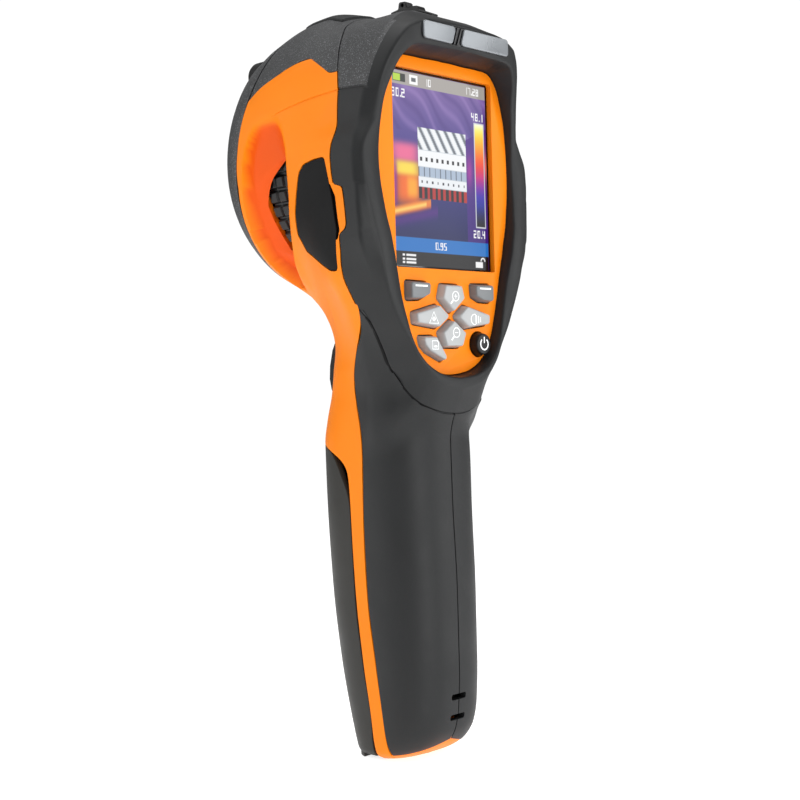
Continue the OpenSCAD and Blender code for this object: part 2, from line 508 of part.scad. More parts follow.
// A slab that faces the user: its outline lies in X and Z, its rear face at depth y
module facing(y, thick) translate([0, y, 0]) rotate([90, 0, 0]) linear_extrude(thick) children();
module key_outline(shape, grow, flipped = false) mirror([flipped ? 1 : 0, 0])
  offset(r = 0.8 + grow, $fn = 20) offset(delta = -0.8) polygon(shape);
module key_cap(shape, flipped = false) {
  facing(KEY_BACK, KEY_BACK - panel_y + key_proud) key_outline(shape, 0, flipped);
  facing(KEY_BACK, FLANGE_T) key_outline(shape, FLANGE, flipped);
}
module key_soft_left() color(GREY) key_cap(SOFT_KEY, true);
module key_soft_right() color(GREY) key_cap(SOFT_KEY);
module key_up() color(LIGHT) key_cap(UP_KEY);
module key_down() color(LIGHT) key_cap(DOWN_KEY);
module key_left() color(LIGHT) key_cap(SIDE_KEY, true);
module key_right() color(LIGHT) key_cap(SIDE_KEY);
module key_save() color(LIGHT) key_cap(SAVE_KEY);
module key_power() color(BLACK) translate([POWER_AT.x, KEY_BACK, POWER_AT.y]) rotate([90, 0, 0]) {
  cylinder(r = POWER_R, h = KEY_BACK - panel_y + key_proud - 0.2, $fn = 48);
  cylinder(r = POWER_R + FLANGE, h = FLANGE_T, $fn = 48);
}
module key_holes(gap) {
  for (f = [true, false]) {
    key_outline(SOFT_KEY, gap, f);
    key_outline(SIDE_KEY, gap, f);
  }
  key_outline(UP_KEY, gap);
  key_outline(DOWN_KEY, gap);
  key_outline(SAVE_KEY, gap);
  translate(POWER_AT) circle(r = POWER_R + gap, $fn = 48);
}
module face_panel() color(ORANGE) facing(panel_y + panel_t, panel_t) difference() {
  polygon(panel_outline(0.05));
  translate([0, display_z]) square([display_w + 1.4, display_h + 1.4], center = true);
  key_holes(0.3);
}
module keypad_outline() intersection() {
  polygon(panel_outline(1.6));
  translate([-30, 110]) square([60, 36]);
}
module display_window() color([0.05, 0.05, 0.07]) facing(-15.7, 0.85) translate([0, display_z])
  offset(r = 2.5, $fn = 24) square([display_w - 2, display_h - 2], center = true);
module display_module() color(METAL) facing(-12.8, 2.8) translate([0, display_z - 0.5])
  square([display_w + 6, display_h + 7], center = true);
module name_plate() color(LIGHT) facing(PLATE_Y, 0.7) translate([0, PLATE_Z]) difference() {
  plate_outline(0);
  for (x = [-5.4, -3.2]) translate([x, 0]) polygon([[-1.2, -3], [-0.5, -3], [1.9, 3], [0.7, 3]]);
}
module dome_sheet() color(METAL) facing(-14.7, 0.3) keypad_outline();
module keypad_board() color(GREEN) facing(-13, 1.6) keypad_outline();

// ---------------------------------------------------------------- inner frame and boards
BOARD_HALF_X = 24;
BOARD_LOW = 150;
BOARD_HIGH = 209;
SCREW_X = 21.5;
SCREW_ZS = [153, 206];
EAR_X = 29.5;
EAR_ZS = [151, 189];
module board_holes(r) for (x = [-SCREW_X, SCREW_X], z = SCREW_ZS) translate([x, z]) circle(r = r, $fn = 24);
module ear_holes(r) for (x = [-EAR_X, EAR_X], z = EAR_ZS) translate([x, z]) circle(r = r, $fn = 24);
module main_board() color(GREEN) {
  facing(-10.2, 1.6) difference() {
    translate([-BOARD_HALF_X, BOARD_LOW]) square([2 * BOARD_HALF_X, BOARD_HIGH - BOARD_LOW]);
    board_holes(1.1);
  }
  for (c = [[0, 190, 14, 14], [0, 168, 12, 10], [-14, 178, 8, 12], [14, 174, 9, 9], [13, 196, 7, 5]])
    translate([c[0] - c[2] / 2, -10.2, c[1] - c[3] / 2]) cube([c[2], 0.5, c[3]]);
}
module chassis() color(METAL) {
  facing(-7.6, 1.8) difference() {
    union() {
      translate([-27, 149]) square([54, 61]);
      for (z = EAR_ZS) translate([-31.8, z - 3.6]) square([63.6, 7.2]);
    }
    board_holes(1.1);
    ear_holes(1.4);
    translate([0, 175]) square([10, 4], center = true);
  }
  facing(-9.4, 0.8) for (x = [-SCREW_X, SCREW_X], z = SCREW_ZS) translate([x, z]) difference() {
    circle(r = 2.6, $fn = 32);
    circle(r = 1.1, $fn = 24);
  }
}
module screw(length, shank_r, head_r, head_h) {
  cylinder(r = shank_r, h = length, $fn = 24);
  translate([0, 0, -head_h]) difference() {
    cylinder(r = head_r, h = head_h, $fn = 32);
    for (a = [0, 90]) rotate([0, 0, a]) translate([-head_r * 0.6, -0.25, -0.1]) cube([head_r * 1.2, 0.5, 0.6]);
  }
}
module board_screws() color(METAL) for (x = [-SCREW_X, SCREW_X], z = SCREW_ZS)
  translate([x, -11.8, z]) rotate([-90, 0, 0]) screw(6, 1.05, 2, 0.9);
module housing_screws() color(METAL) for (x = [-EAR_X, EAR_X], z = EAR_ZS)
  translate([x, -9.4, z]) rotate([-90, 0, 0]) screw(7, 1.35, 2.4, 1.3);
module flex_cable() color(GOLD) {
  translate([-5, -12.4, 141]) cube([10, 0.2, 14]);
  translate([-15, -9.7, 154]) cube([6, 0.2, 10]);
}
FRAME_LOW = 15;
FRAME_HIGH = 96;
module rounded(w, d, r) offset(r = r, $fn = 32) square([w - 2 * r, d - 2 * r], center = true);
module handle_frame() color(GREY) difference() {
  translate([0, 0, FRAME_LOW]) linear_extrude(FRAME_HIGH - FRAME_LOW) rounded(26, 26, 5);
  translate([0, 0, FRAME_LOW + 1.6]) linear_extrude(FRAME_HIGH - FRAME_LOW - 3.2) rounded(23.2, 23.2, 3.8);
  translate([-11.6, 4, FRAME_LOW + 1.6]) cube([23.2, 12, FRAME_HIGH - FRAME_LOW - 3.2]);
  translate([-6, -6, 90]) cube([12, 10, 10]);
}
module battery_pack() color(BLACK) translate([0, 0.4, FRAME_LOW + 1.8]) linear_extrude(battery_h)
  rounded(battery_w, battery_d - 0.6, 3.2);
module battery_contacts() color(GOLD) {
  translate([-8, -4, FRAME_HIGH - 3.6]) cube([16, 5, 1.9]);
  for (x = [-5, 0, 5]) translate([x, -1.5, FRAME_LOW + battery_h + 1.8]) cylinder(r = 0.9,
    h = FRAME_HIGH - 3.6 - (FRAME_LOW + battery_h + 1.8), $fn = 20);
}
module cover_hinge_pin() color(METAL) both_sides() at_cover_hinge() translate([0, 0, 5.8])
  cylinder(r = 0.8, h = 5.4, $fn = 32);
module tripod_insert() color([0.75, 0.6, 0.3]) difference() {
  cylinder(r = 4.2, h = 9.4, $fn = 48);
  translate([0, 0, -1]) cylinder(r = tripod_r, h = tripod_depth + 1, $fn = 48);
}
module strap_bar() color(METAL) translate([-6, -14.3, 16.6]) rotate([0, 90, 0]) cylinder(r = 1.1, h = 12, $fn = 24);

// ---------------------------------------------------------------- trigger
TRIGGER_HALF = 7.4;
PIVOT_Y = 13.5;
PIVOT_Z = 134.5;
// Side profile of the trigger: a finger curve in front, an arm up to the pivot
TRIGGER_SIDE = [[20.4, 133.4], [23.4, 130.6], [25.6, 126.6], [26.9, 121.6], [27.2, 117.4], [26.4, 113.8],
  [24.2, 111.6], [21, 111], [17.4, 111.8], [15.6, 116], [13, 124], [11.2, 134], [12, 136.4]];
module along_x(x0, x1) translate([x0, 0, 0]) multmatrix([[0, 0, 1, 0], [1, 0, 0, 0], [0, 1, 0, 0]])
  linear_extrude(x1 - x0) children();
module at_pivot() translate([0, PIVOT_Y, PIVOT_Z]) rotate([0, 90, 0]) children();
module trigger() color(BLACK) along_x(-TRIGGER_HALF, TRIGGER_HALF) difference() {
  union() {
    offset(r = 1, $fn = 24) offset(delta = -1) polygon(TRIGGER_SIDE);
    translate([PIVOT_Y, PIVOT_Z]) circle(r = 2.6, $fn = 40);
  }
  translate([PIVOT_Y, PIVOT_Z]) circle(r = 1.05, $fn = 40);
}
module trigger_slot() translate([-TRIGGER_HALF - 0.5, 13, 109.8]) cube([2 * TRIGGER_HALF + 1, 20, 24.4]);
module trigger_pin() color(METAL) translate([-9.8, 0, 0]) at_pivot() cylinder(r = 1, h = 19.6, $fn = 40);
module trigger_switch() color(BLACK) {
  translate([-3, 4.6, 112]) cube([6, 6.4, 9]);
  translate([-1.5, 11, 115]) cube([3, 1.4, 3]);
}

// ---------------------------------------------------------------- optics
// Outer radius of the fixed barrel guide, on which the focus wheel turns
GUIDE_R = 21.6;
BORE_R = GUIDE_R + 0.06;
WHEEL_BACK = 9;
WHEEL_T = 16;
module barrel_guide() color(BLACK) along_lens(-7.6) difference() {
  union() {
    cylinder(r = 24.5, h = 2, $fn = 72);
    cylinder(r = GUIDE_R, h = 41.6, $fn = 96);
  }
  difference() {
    translate([0, 0, 3]) cylinder(r = 20.2, h = 40, $fn = 96);
    translate([SHUTTER_X, lens_z - SHUTTER_Z, 0]) cylinder(r = 0.74, h = 6.8, $fn = 32);
  }
  translate([-11.2, -11.2, -1]) cube([22.4, 22.4, 6]);
}
module focus_wheel() color(BLACK) along_lens(WHEEL_BACK) difference() {
  cylinder(r = focus_r, h = WHEEL_T, $fn = 96);
  translate([0, 0, -1]) cylinder(r = BORE_R, h = WHEEL_T + 2, $fn = 96);
  for (i = [0:focus_grooves - 1]) rotate([0, 0, i * 360 / focus_grooves])
    translate([focus_r - 1, -0.6, -1]) cube([2, 1.2, WHEEL_T + 2]);
}
// Body of turning: outline in radius and depth along the lens axis
module turned(outline) along_lens(0) rotate_extrude($fn = 72) polygon(outline);
module lens_carriage() color(BLACK) turned([[20.14, 6.8], [20.14, 33], [17.4, 33], [17.4, 31.2],
  [lens_r + 0.05, 31.2], [lens_r + 0.05, 26], [12.5, 26], [10, 14.2], [8.06, 14.2], [8.06, 10.6], [6.6, 10.6],
  [6.6, 6.8]]);
module front_lens() color([0.25, 0.22, 0.3]) turned(concat([[0, 26.1], [lens_r, 26.1]],
  [for (i = [8:-1:0]) [lens_r * i / 8, 29.4 + 1.8 * (1 - pow(i / 8, 2))]]));
module rear_lens() color([0.25, 0.22, 0.3]) turned([[0, 10.8], [8, 10.8], [8, 13], [0, 14]]);
module lens_bezel() color(BLACK) turned([[25.5, 35.7], [25.5, 41.2], [24.6, 41.2], [21.2, 36.4],
  [21.2, 34.3], [24, 34.3], [24, 35.7]]);
module lens_seal() color(BLACK) along_lens(35.1) rotate_extrude($fn = 72) translate([24.75, 0])
  circle(r = 0.55, $fn = 20);
module infrared_detector() color(METAL) along_lens(-5.8) difference() {
  translate([-10, -10, 0]) cube([20, 20, 3.6]);
  translate([-4.5, -4.5, 3.2]) cube([9, 9, 1]);
}
module detector_board() color(GREEN) facing(-5.8, 1.7) translate([0, lens_z])
  square([22, 22], center = true);
SHUTTER_X = 13;
SHUTTER_Z = 194.5;
module shutter_flag() color(METAL) facing(-1.3, 0.4) difference() {
  union() {
    translate([SHUTTER_X, SHUTTER_Z]) circle(r = 1.8, $fn = 24);
    translate([SHUTTER_X - 1.8, SHUTTER_Z - 14]) square([3.2, 14]);
    translate([SHUTTER_X - 0.3, SHUTTER_Z - 16.7]) circle(r = 5.6, $fn = 32);
  }
  translate([SHUTTER_X, SHUTTER_Z]) circle(r = 0.8, $fn = 24);
}
POD_X = 17;
POD_Z = 215.5;
module at_pod(side, y) translate([side * POD_X, y, POD_Z]) rotate([-90, 0, 0]) children();
module pod(side) at_pod(side, 34) rotate_extrude($fn = 48) polygon([[3.5, 0], [4.25, 0], [4.25, 7.45],
  [5.3, 7.45], [5.3, 11.4], [4.9, 12.3], [4.2, 12.7], [3.7, 12.7], [3.7, 11.6], [3.5, 11.6]]);
module camera_pod() color(BLACK) pod(-1);
module lamp_pod() color(BLACK) pod(1);
module camera_window() color([0.1, 0.1, 0.14]) at_pod(-1, 45.65) cylinder(r = 3.65, h = 0.6, $fn = 40);
module lamp_lens() color([0.85, 0.86, 0.8]) at_pod(1, 45.65) cylinder(r = 3.65, h = 0.6, $fn = 40);
module camera_module() color(METAL) at_pod(-1, 35) {
  cylinder(r = 3.4, h = 8.4, $fn = 40);
  translate([0, 0, 8.4]) cylinder(r = 1.6, h = 1.6, $fn = 32);
}
module lamp_emitter() color([0.9, 0.85, 0.4]) at_pod(1, 35) {
  cylinder(r = 3.4, h = 7, $fn = 40);
  translate([-1.4, -1.4, 7]) cube([2.8, 2.8, 1]);
}
module laser_module() color(METAL) translate([0, 28, 219.5]) rotate([-90, 0, 0]) difference() {
  cylinder(r = 2.05, h = 13.6, $fn = 32);
  translate([0, 0, 12.6]) cylinder(r = 1.2, h = 2, $fn = 24);
}

// ---------------------------------------------------------------- side covers and sockets
module port_cover() color(BLACK) moulding() intersection() {
  flank_prism(-1, 0, 10, 44);
  flank_slab(-1, -0.15, 1.35);
}
module side_inlay() color(BLACK) moulding() intersection() {
  flank_prism(1, 0, 10, 44);
  flank_slab(1, -0.15, 1.4);
}
module socket_cuts() {
  translate([-40, -1.9, 167.6]) cube([14, 3.8, 10]);
  translate([-40, -1.9, 155.8]) cube([14, 2.5, 10.4]);
}
module io_board() color(GREEN) translate([-34, -3.6, 155]) cube([12, 1.7, 25]);
module usb_socket() color(METAL) difference() {
  translate([-34.6, -1.8, 168]) cube([7.4, 3.6, 9.2]);
  translate([-35, -1.3, 168.5]) cube([6, 2.6, 8.2]);
}
module card_slot() color(METAL) difference() {
  translate([-34, -1.8, 156]) cube([14, 2.2, 10]);
  translate([-35, -1.3, 156.3]) cube([13, 1.2, 9.4]);
}
module memory_card() color(BLACK) translate([-34.2, -1.2, 156.5]) cube([12, 1, 9]);

// ---------------------------------------------------------------- accessory lug on the crown
module accessory_lug() color(CHARCOAL) difference() {
  along_x(-1.6, 1.6) polygon([[-15.8, 226.8], [-13, 227.85], [-10, 228.95], [-7.2, 229.7], [-1.8, 230.1],
    [1.2, 230.2], [1.2, 230.9], [-1.9, 231.3], [-2.2, 233], [-2.6, 233.4], [-4.8, 233.2], [-5.4, 232.8],
    [-5.6, 231], [-6.8, 230.9], [-7.2, 231.3], [-9.6, 231], [-10.4, 230.6], [-10.8, 229.6], [-15.8, 227.4]]);
  translate([-6, -3.7, 232.2]) rotate([0, 90, 0]) cylinder(r = 0.5, h = 12, $fn = 20);
}

front_housing();
rear_housing();
top_cover();
top_trim();
front_ring();
grip_left();
grip_right();
battery_cover();
face_panel();
display_window();
display_module();
name_plate();
key_soft_left();
key_soft_right();
key_up();
key_down();
key_left();
key_right();
key_save();
key_power();
dome_sheet();
keypad_board();
main_board();
chassis();
handle_frame();
battery_pack();
battery_contacts();
cover_hinge_pin();
trigger();
trigger_pin();
trigger_switch();
lens_bezel();
lens_seal();
barrel_guide();
focus_wheel();
lens_carriage();
front_lens();
rear_lens();
shutter_flag();
infrared_detector();
detector_board();
camera_pod();
camera_window();
camera_module();
lamp_pod();
lamp_lens();
lamp_emitter();
laser_module();
port_cover();
side_inlay();
io_board();
usb_socket();
card_slot();
memory_card();
tripod_insert();
strap_bar();
accessory_lug();
housing_screws();
board_screws();
flex_cable();
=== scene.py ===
"""Looks of a hand-held thermal imaging camera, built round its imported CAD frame.

Lengths are in millimetres until a mesh is made; the frame's axes are +X to the user's right,
+Y towards the lens and +Z up, with the origin in the middle of the flat base.
"""

import json
import math

import bmesh
import bpy
import numpy as np
from mathutils import Matrix, Vector

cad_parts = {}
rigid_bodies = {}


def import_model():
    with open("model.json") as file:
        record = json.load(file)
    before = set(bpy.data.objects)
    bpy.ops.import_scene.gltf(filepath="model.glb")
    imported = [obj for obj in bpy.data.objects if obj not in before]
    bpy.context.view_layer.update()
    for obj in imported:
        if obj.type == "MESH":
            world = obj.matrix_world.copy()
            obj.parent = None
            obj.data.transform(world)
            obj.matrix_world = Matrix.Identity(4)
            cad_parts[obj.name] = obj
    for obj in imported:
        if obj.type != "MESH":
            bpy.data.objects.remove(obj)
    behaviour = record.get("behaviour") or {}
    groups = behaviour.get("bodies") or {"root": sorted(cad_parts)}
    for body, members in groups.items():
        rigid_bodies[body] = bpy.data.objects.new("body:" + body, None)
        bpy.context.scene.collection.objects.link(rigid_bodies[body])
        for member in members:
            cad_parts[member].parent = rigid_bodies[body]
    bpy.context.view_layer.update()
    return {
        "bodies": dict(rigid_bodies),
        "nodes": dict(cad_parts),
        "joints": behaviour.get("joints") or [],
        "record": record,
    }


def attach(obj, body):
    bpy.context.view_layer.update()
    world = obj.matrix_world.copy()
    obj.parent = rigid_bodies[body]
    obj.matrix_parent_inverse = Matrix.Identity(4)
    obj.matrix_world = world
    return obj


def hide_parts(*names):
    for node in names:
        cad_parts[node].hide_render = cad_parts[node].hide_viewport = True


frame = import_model()

MM = 0.001
LENS_Z = 184.0
FACE_Z = 168.0
DISPLAY_Z = 179.0
DISPLAY_W, DISPLAY_H = 43.2, 57.6
PANEL_Y = -18.4
FRONT_Y = 41.4
WALL = 2.2
POD_X, POD_Z = 17, 215.5
SEAM = 0.5
ROOT = "casing"


# ---------------------------------------------------------------- numbers and curves
def curve(table):
    """Smooth monotone curve through the rows (x, y) of a short table."""
    t = np.array(table, float)
    x, y = t[:, 0], t[:, 1]
    h = np.diff(x)
    d = np.diff(y) / h
    m = np.zeros(len(x))
    m[0], m[-1] = d[0], d[-1]
    for i in range(1, len(x) - 1):
        if d[i - 1] * d[i] > 0:
            w1, w2 = 2 * h[i] + h[i - 1], h[i] + 2 * h[i - 1]
            m[i] = (w1 + w2) / (w1 / d[i - 1] + w2 / d[i])
    xs = np.linspace(x[0], x[-1], 3001)
    k = np.clip(np.searchsorted(x, xs, side="right") - 1, 0, len(h) - 1)
    s = (xs - x[k]) / h[k]
    ys = (
        (1 + 2 * s) * (1 - s) ** 2 * y[k]
        + s * (1 - s) ** 2 * h[k] * m[k]
        + s * s * (3 - 2 * s) * y[k + 1]
        + s * s * (s - 1) * h[k] * m[k + 1]
    )
    return lambda v: np.interp(v, xs, ys)


def path(points, count=None, spacing=None):
    """Points spread along a smooth line through given points of any dimension."""
    p = np.array(points, float)
    step = np.maximum(np.linalg.norm(np.diff(p[:, :3], axis=0), axis=1), 0.2)
    at = np.concatenate([[0], np.cumsum(step)])
    n = count or max(2, int(at[-1] / spacing) + 1)
    t = np.linspace(0, at[-1], n)
    return np.stack([curve(np.stack([at, p[:, i]], 1))(t) for i in range(p.shape[1])], 1)


def soft_max(a, b, k):
    h = np.clip(0.5 + 0.5 * (a - b) / k, 0, 1)
    return b + (a - b) * h + k * h * (1 - h)


def soft_min(a, b, k):
    return -soft_max(-a, -b, k)


def ease(v):
    t = np.clip(v, 0, 1)
    return t * t * (3 - 2 * t)


# ---------------------------------------------------------------- outer form of the body
REAR_HALF = curve([
    (100, 18.5), (106, 18), (112, 17.5), (118, 19), (125, 22.5), (133, 27), (141, 31.5), (148, 35.2),
    (158, 37.6), (168, 38.4), (180, 38.4), (186, 37.4), (192, 35), (200, 33.2), (208, 30.8), (214, 28.2),
    (219, 25), (223, 20), (227, 11), (230, 0), (234, -20)])
BARREL_HALF = curve([(-29, 37), (-16, 38.3), (10, 38.5), (34, 38.5), (39, 37.6), (42, 36.2)])
CROWN = curve([(-29, 221.5), (-22, 224.5), (-15, 227), (-9, 229.2), (4, 232), (14, 233), (24, 232.5),
               (34, 229.5), (42, 225.5)])
KEEL = curve([(-29, 139), (10, 139), (20, 139.5), (29, 142), (34, 144.5), (42, 148.5)])
HEAD_BACK = curve([(100, -10), (106, -18), (112, -21.5), (118, -23.2), (126, -22.8), (140, -21),
                   (180, -20), (200, -24), (215, -28.5), (240, -28.5)])
HANDLE_BACK = curve([(0, -5), (2, -9.5), (5, -13.5), (10, -16.8), (16, -18.2), (30, -19), (50, -19),
                     (80, -18), (98, -17.8), (106, -19.5), (112, -21)])
HANDLE_FRONT = curve([(0, 15.5), (6, 17.3), (14, 19.5), (29, 22.8), (54, 26), (82, 27.2), (97, 27.3),
                      (104, 26), (112, 23.5), (120, 21.3), (128, 20), (136, 21)])
HANDLE_HALF = curve([(0, 14.5), (3, 16.2), (8, 17.2), (20, 17.9), (60, 18.8), (90, 19.3), (110, 19.5),
                     (120, 20.5)])
SQUARENESS = 2.6


def body_value(p):
    """Rough signed distance to the body's skin, negative inside."""
    x, y, z = np.abs(p[..., 0]), p[..., 1], p[..., 2]
    up = z > LENS_Z
    tall = np.where(up, CROWN(y) - LENS_Z, LENS_Z - KEEL(y))
    barrel = (np.hypot(x / BARREL_HALF(y), (z - LENS_Z) / tall) - 1) * np.where(up, 38, 36)
    shield = (x - REAR_HALF(z)) * 0.8
    t = ease((y + 6) / 24)
    head = soft_max(shield * (1 - t) + barrel * t, z - CROWN(y), 2)
    head = soft_max(head, y - FRONT_Y, 3)
    head = soft_max(head, HEAD_BACK(z) - y, 2.5)
    head = soft_max(head, 100 - z, 10)
    back, front = HANDLE_BACK(z), HANDLE_FRONT(z)
    q = (np.abs(x / HANDLE_HALF(z)) ** SQUARENESS
         + np.abs((y - (back + front) / 2) / ((front - back) / 2)) ** SQUARENESS) ** (1 / SQUARENESS)
    handle = soft_max(soft_max((q - 1) * 20, z - 170, 6), -z, 3)
    neck = 1.9 * np.exp(-((x - 16.3) ** 2 + (y + 18.3) ** 2) / 30 - ((z - 109) / 10) ** 2)
    return soft_min(head, handle, np.interp(y, [-16, 8], [4, 13])) + neck


# Finger scoop: a pocket round the lens axis, by angle from straight up and by depth.
# Its floor dips below the wheel's bay at the rear, so the wheel shows in a crescent there.
SCOOP_ANGLE, SCOOP_SPAN, SCOOP_SQUARENESS = 115.0, 42.0, 3.6
SCOOP_REAR = curve([(70, 12.4), (79, 11.8), (90, 11.2), (105, 11.7), (118, 14), (129, 17.1), (140, 20.5),
                    (148, 21.9), (158, 23)])
SCOOP_FRONT = curve([(70, 28.6), (76, 29.2), (88, 30.1), (99.5, 30.7), (113, 31.7), (125, 33), (137, 33.2),
                     (158, 32)])
SCOOP_WINDOW = curve([(88, 11.6), (92.6, 14.9), (99.5, 19.5), (110, 23), (119, 25.2), (127.6, 26.1),
                      (136, 25.1), (143, 21.8), (158, 23)])


def scoop_value(p):
    x, y, z = np.abs(p[..., 0]), p[..., 1], p[..., 2] - LENS_Z
    angle = np.where(x < 1, 180, np.degrees(np.arctan2(x, z)))
    rear, front = SCOOP_REAR(angle), SCOOP_FRONT(angle)
    u = np.abs(angle - SCOOP_ANGLE) / SCOOP_SPAN
    v = np.abs(y - (rear + front) / 2) / ((front - rear) / 2)
    outline = ((u ** SCOOP_SQUARENESS + v ** SCOOP_SQUARENESS) ** (1 / SCOOP_SQUARENESS) - 1) * 11
    near = np.maximum(0.5, SCOOP_WINDOW(angle) - rear)
    floor = 36.0 - 2.0 * ease(1 - (y - rear) / (2 * near))
    return soft_max(outline, floor - np.hypot(x, z), 3.2)


def orange_value(p):
    return soft_max(body_value(p), -scoop_value(p), 1.5)


def reach(origin, direction, low, high, field=body_value):
    """Distance along each ray at which it leaves the body."""
    low, high = np.broadcast_arrays(np.asarray(low, float), np.asarray(high, float))
    low, high = low.copy(), high.copy()
    for _ in range(18):
        mid = (low + high) / 2
        inside = field(origin + direction * mid[..., None]) < 0
        low, high = np.where(inside, mid, low), np.where(inside, high, mid)
    return (low + high) / 2


def unit(v):
    return v / np.linalg.norm(v, axis=-1, keepdims=True)


def patch(origins, starts, ends, shares, field=body_value):
    """Skin points on rays turned from each row's start to its end, seen from its inner point."""
    a, b = starts - origins, ends - origins
    ra, rb = np.linalg.norm(a, axis=1), np.linalg.norm(b, axis=1)
    ua, ub = unit(a), unit(b)
    w = np.arccos(np.clip((ua * ub).sum(1), -1, 1))[:, None, None]
    s = np.asarray(shares)[None, :, None]
    d = (np.sin((1 - s) * w) * ua[:, None] + np.sin(s * w) * ub[:, None]) / np.maximum(np.sin(w), 1e-6)
    r = ra[:, None] * (1 - s[..., 0]) + rb[:, None] * s[..., 0]
    o = origins[:, None] + 0 * d
    return o + d * reach(o, d, r * 0.6, r * 1.4 + 1.5, field)[..., None]


def flank(side, y, z, field=body_value):
    """Skin points of one flank at depth y and height z."""
    y, z = np.broadcast_arrays(np.asarray(y, float), np.asarray(z, float))
    o = np.stack([0 * y, y, z], -1)
    d = np.zeros_like(o)
    d[..., 0] = side
    return o + d * reach(o, d, 12 + 0 * y, 46 + 0 * y, field)[..., None]


# ---------------------------------------------------------------- meshes
def grid_faces(rows, cols, base=0, wrap_rows=False, wrap_cols=False):
    out = []
    for i in range(rows if wrap_rows else rows - 1):
        for j in range(cols if wrap_cols else cols - 1):
            i2, j2 = (i + 1) % rows, (j + 1) % cols
            a, b = base + i * cols, base + i2 * cols
            out.append((a + j, a + j2, b + j2, b + j))
    return out


def shell(outer, inner, open_last=False):
    """Closed shell between two grids; open_last leaves out the wall at the last column."""
    rows, cols = outer.shape[:2]
    n = rows * cols
    faces = grid_faces(rows, cols) + [f[::-1] for f in grid_faces(rows, cols, n)]
    rim = [(0, j) for j in range(cols - 1)] + [(i, cols - 1) for i in range(rows - 1)]
    rim += [(rows - 1, j) for j in range(cols - 1, 0, -1)] + [(i, 0) for i in range(rows - 1, 0, -1)]
    for a, b in zip(rim, rim[1:] + rim[:1]):
        if open_last and a[1] == b[1] == cols - 1 and abs(outer[a][0]) < 1e-6 and abs(outer[b][0]) < 1e-6:
            continue
        ia, ib = a[0] * cols + a[1], b[0] * cols + b[1]
        faces.append((ia, ib, n + ib, n + ia))
    return np.concatenate([outer.reshape(-1, 3), inner.reshape(-1, 3)]), faces


def joined(*parts):
    verts, faces, base = [], [], 0
    for v, f in parts:
        v = np.asarray(v, float)
        verts.append(v)
        faces += [tuple(base + i for i in face) for face in f]
        base += len(v)
    return np.concatenate(verts), faces


def tube(points, radius, count=10):
    """Round bar along a line of points."""
    p = np.asarray(points, float)
    w = unit(np.concatenate([p[1:2] - p[:1], p[2:] - p[:-2], p[-1:] - p[-2:-1]]))
    u = np.cross(w, [0.3, 0.5, 0.81])
    for i in range(1, len(w)):
        u[i] = unit(unit(u[i - 1]) - w[i] * np.dot(unit(u[i - 1]), w[i]))
    u = unit(u)
    v = np.cross(w, u)
    t = np.arange(count) * 2 * math.pi / count
    c, s = np.cos(t)[None, :, None], np.sin(t)[None, :, None]
    grid = p[:, None] + radius * (c * u[:, None] + s * v[:, None])
    n = len(p)
    faces = grid_faces(n, count, 0, False, True)
    faces += [tuple(range(count)), tuple(range(n * count - 1, (n - 1) * count - 1, -1))]
    return grid.reshape(-1, 3), faces


def mirrored(part):
    v, f = part
    return np.asarray(v, float) * [-1, 1, 1], [face[::-1] for face in f]


def link(ob):
    bpy.context.scene.collection.objects.link(ob)
    return ob


def raw_object(name, part, weld=0.0):
    mesh = bpy.data.meshes.new(name)
    mesh.from_pydata([tuple(v) for v in np.asarray(part[0], float) * MM], [], part[1])
    bm = bmesh.new()
    bm.from_mesh(mesh)
    if weld:
        bmesh.ops.remove_doubles(bm, verts=bm.verts, dist=weld * MM)
    bmesh.ops.recalc_face_normals(bm, faces=bm.faces)
    bm.to_mesh(mesh)
    bm.free()
    return link(bpy.data.objects.new(name, mesh))


def settle(ob):
    """Applies the object's modifiers to its mesh."""
    bpy.context.view_layer.update()
    made = bpy.data.meshes.new_from_object(ob.evaluated_get(bpy.context.evaluated_depsgraph_get()))
    old = ob.data
    ob.modifiers.clear()
    ob.data = made
    made.name = ob.name
    bpy.data.meshes.remove(old)


def cut(ob, *cutters):
    """Takes each cutter's solid out of the object."""
    for part in cutters:
        tool = raw_object("cutter", part)
        mod = ob.modifiers.new("cut", "BOOLEAN")
        mod.operation, mod.object, mod.solver = "DIFFERENCE", tool, "EXACT"
        settle(ob)
        old = tool.data
        bpy.data.objects.remove(tool)
        bpy.data.meshes.remove(old)


def finish_piece(ob, material, body, slot, replaces=(), bevel=0.0, segments=2, sharp=38, limit=40):
    if bevel:
        mod = ob.modifiers.new("edge", "BEVEL")
        mod.width, mod.segments = bevel * MM, segments
        mod.limit_method, mod.angle_limit = "ANGLE", math.radians(limit)
        mod.miter_outer = "MITER_ARC"
        settle(ob)
    mesh = ob.data
    mesh.polygons.foreach_set("use_smooth", [True] * len(mesh.polygons))
    mesh.set_sharp_from_angle(angle=math.radians(sharp))
    mesh.materials.clear()
    mesh.materials.append(material)
    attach(ob, body)
    if replaces:
        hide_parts(*replaces)
    return ob


def piece(name, part, material, body, slot, replaces=(), weld=0.0, **look):
    return finish_piece(raw_object(name, part, weld), material, body, slot, replaces, **look)


def at_depth(outline, y):
    """Outline in X and Z, placed at one depth."""
    return np.stack([outline[:, 0], np.full(len(outline), y), outline[:, 1]], 1)


def ring_solid(loops):
    """Closed ring from loops of points, each joined to the next and the last to the first."""
    grid = np.array(loops)
    return grid.reshape(-1, 3), grid_faces(grid.shape[0], grid.shape[1], 0, True, True)


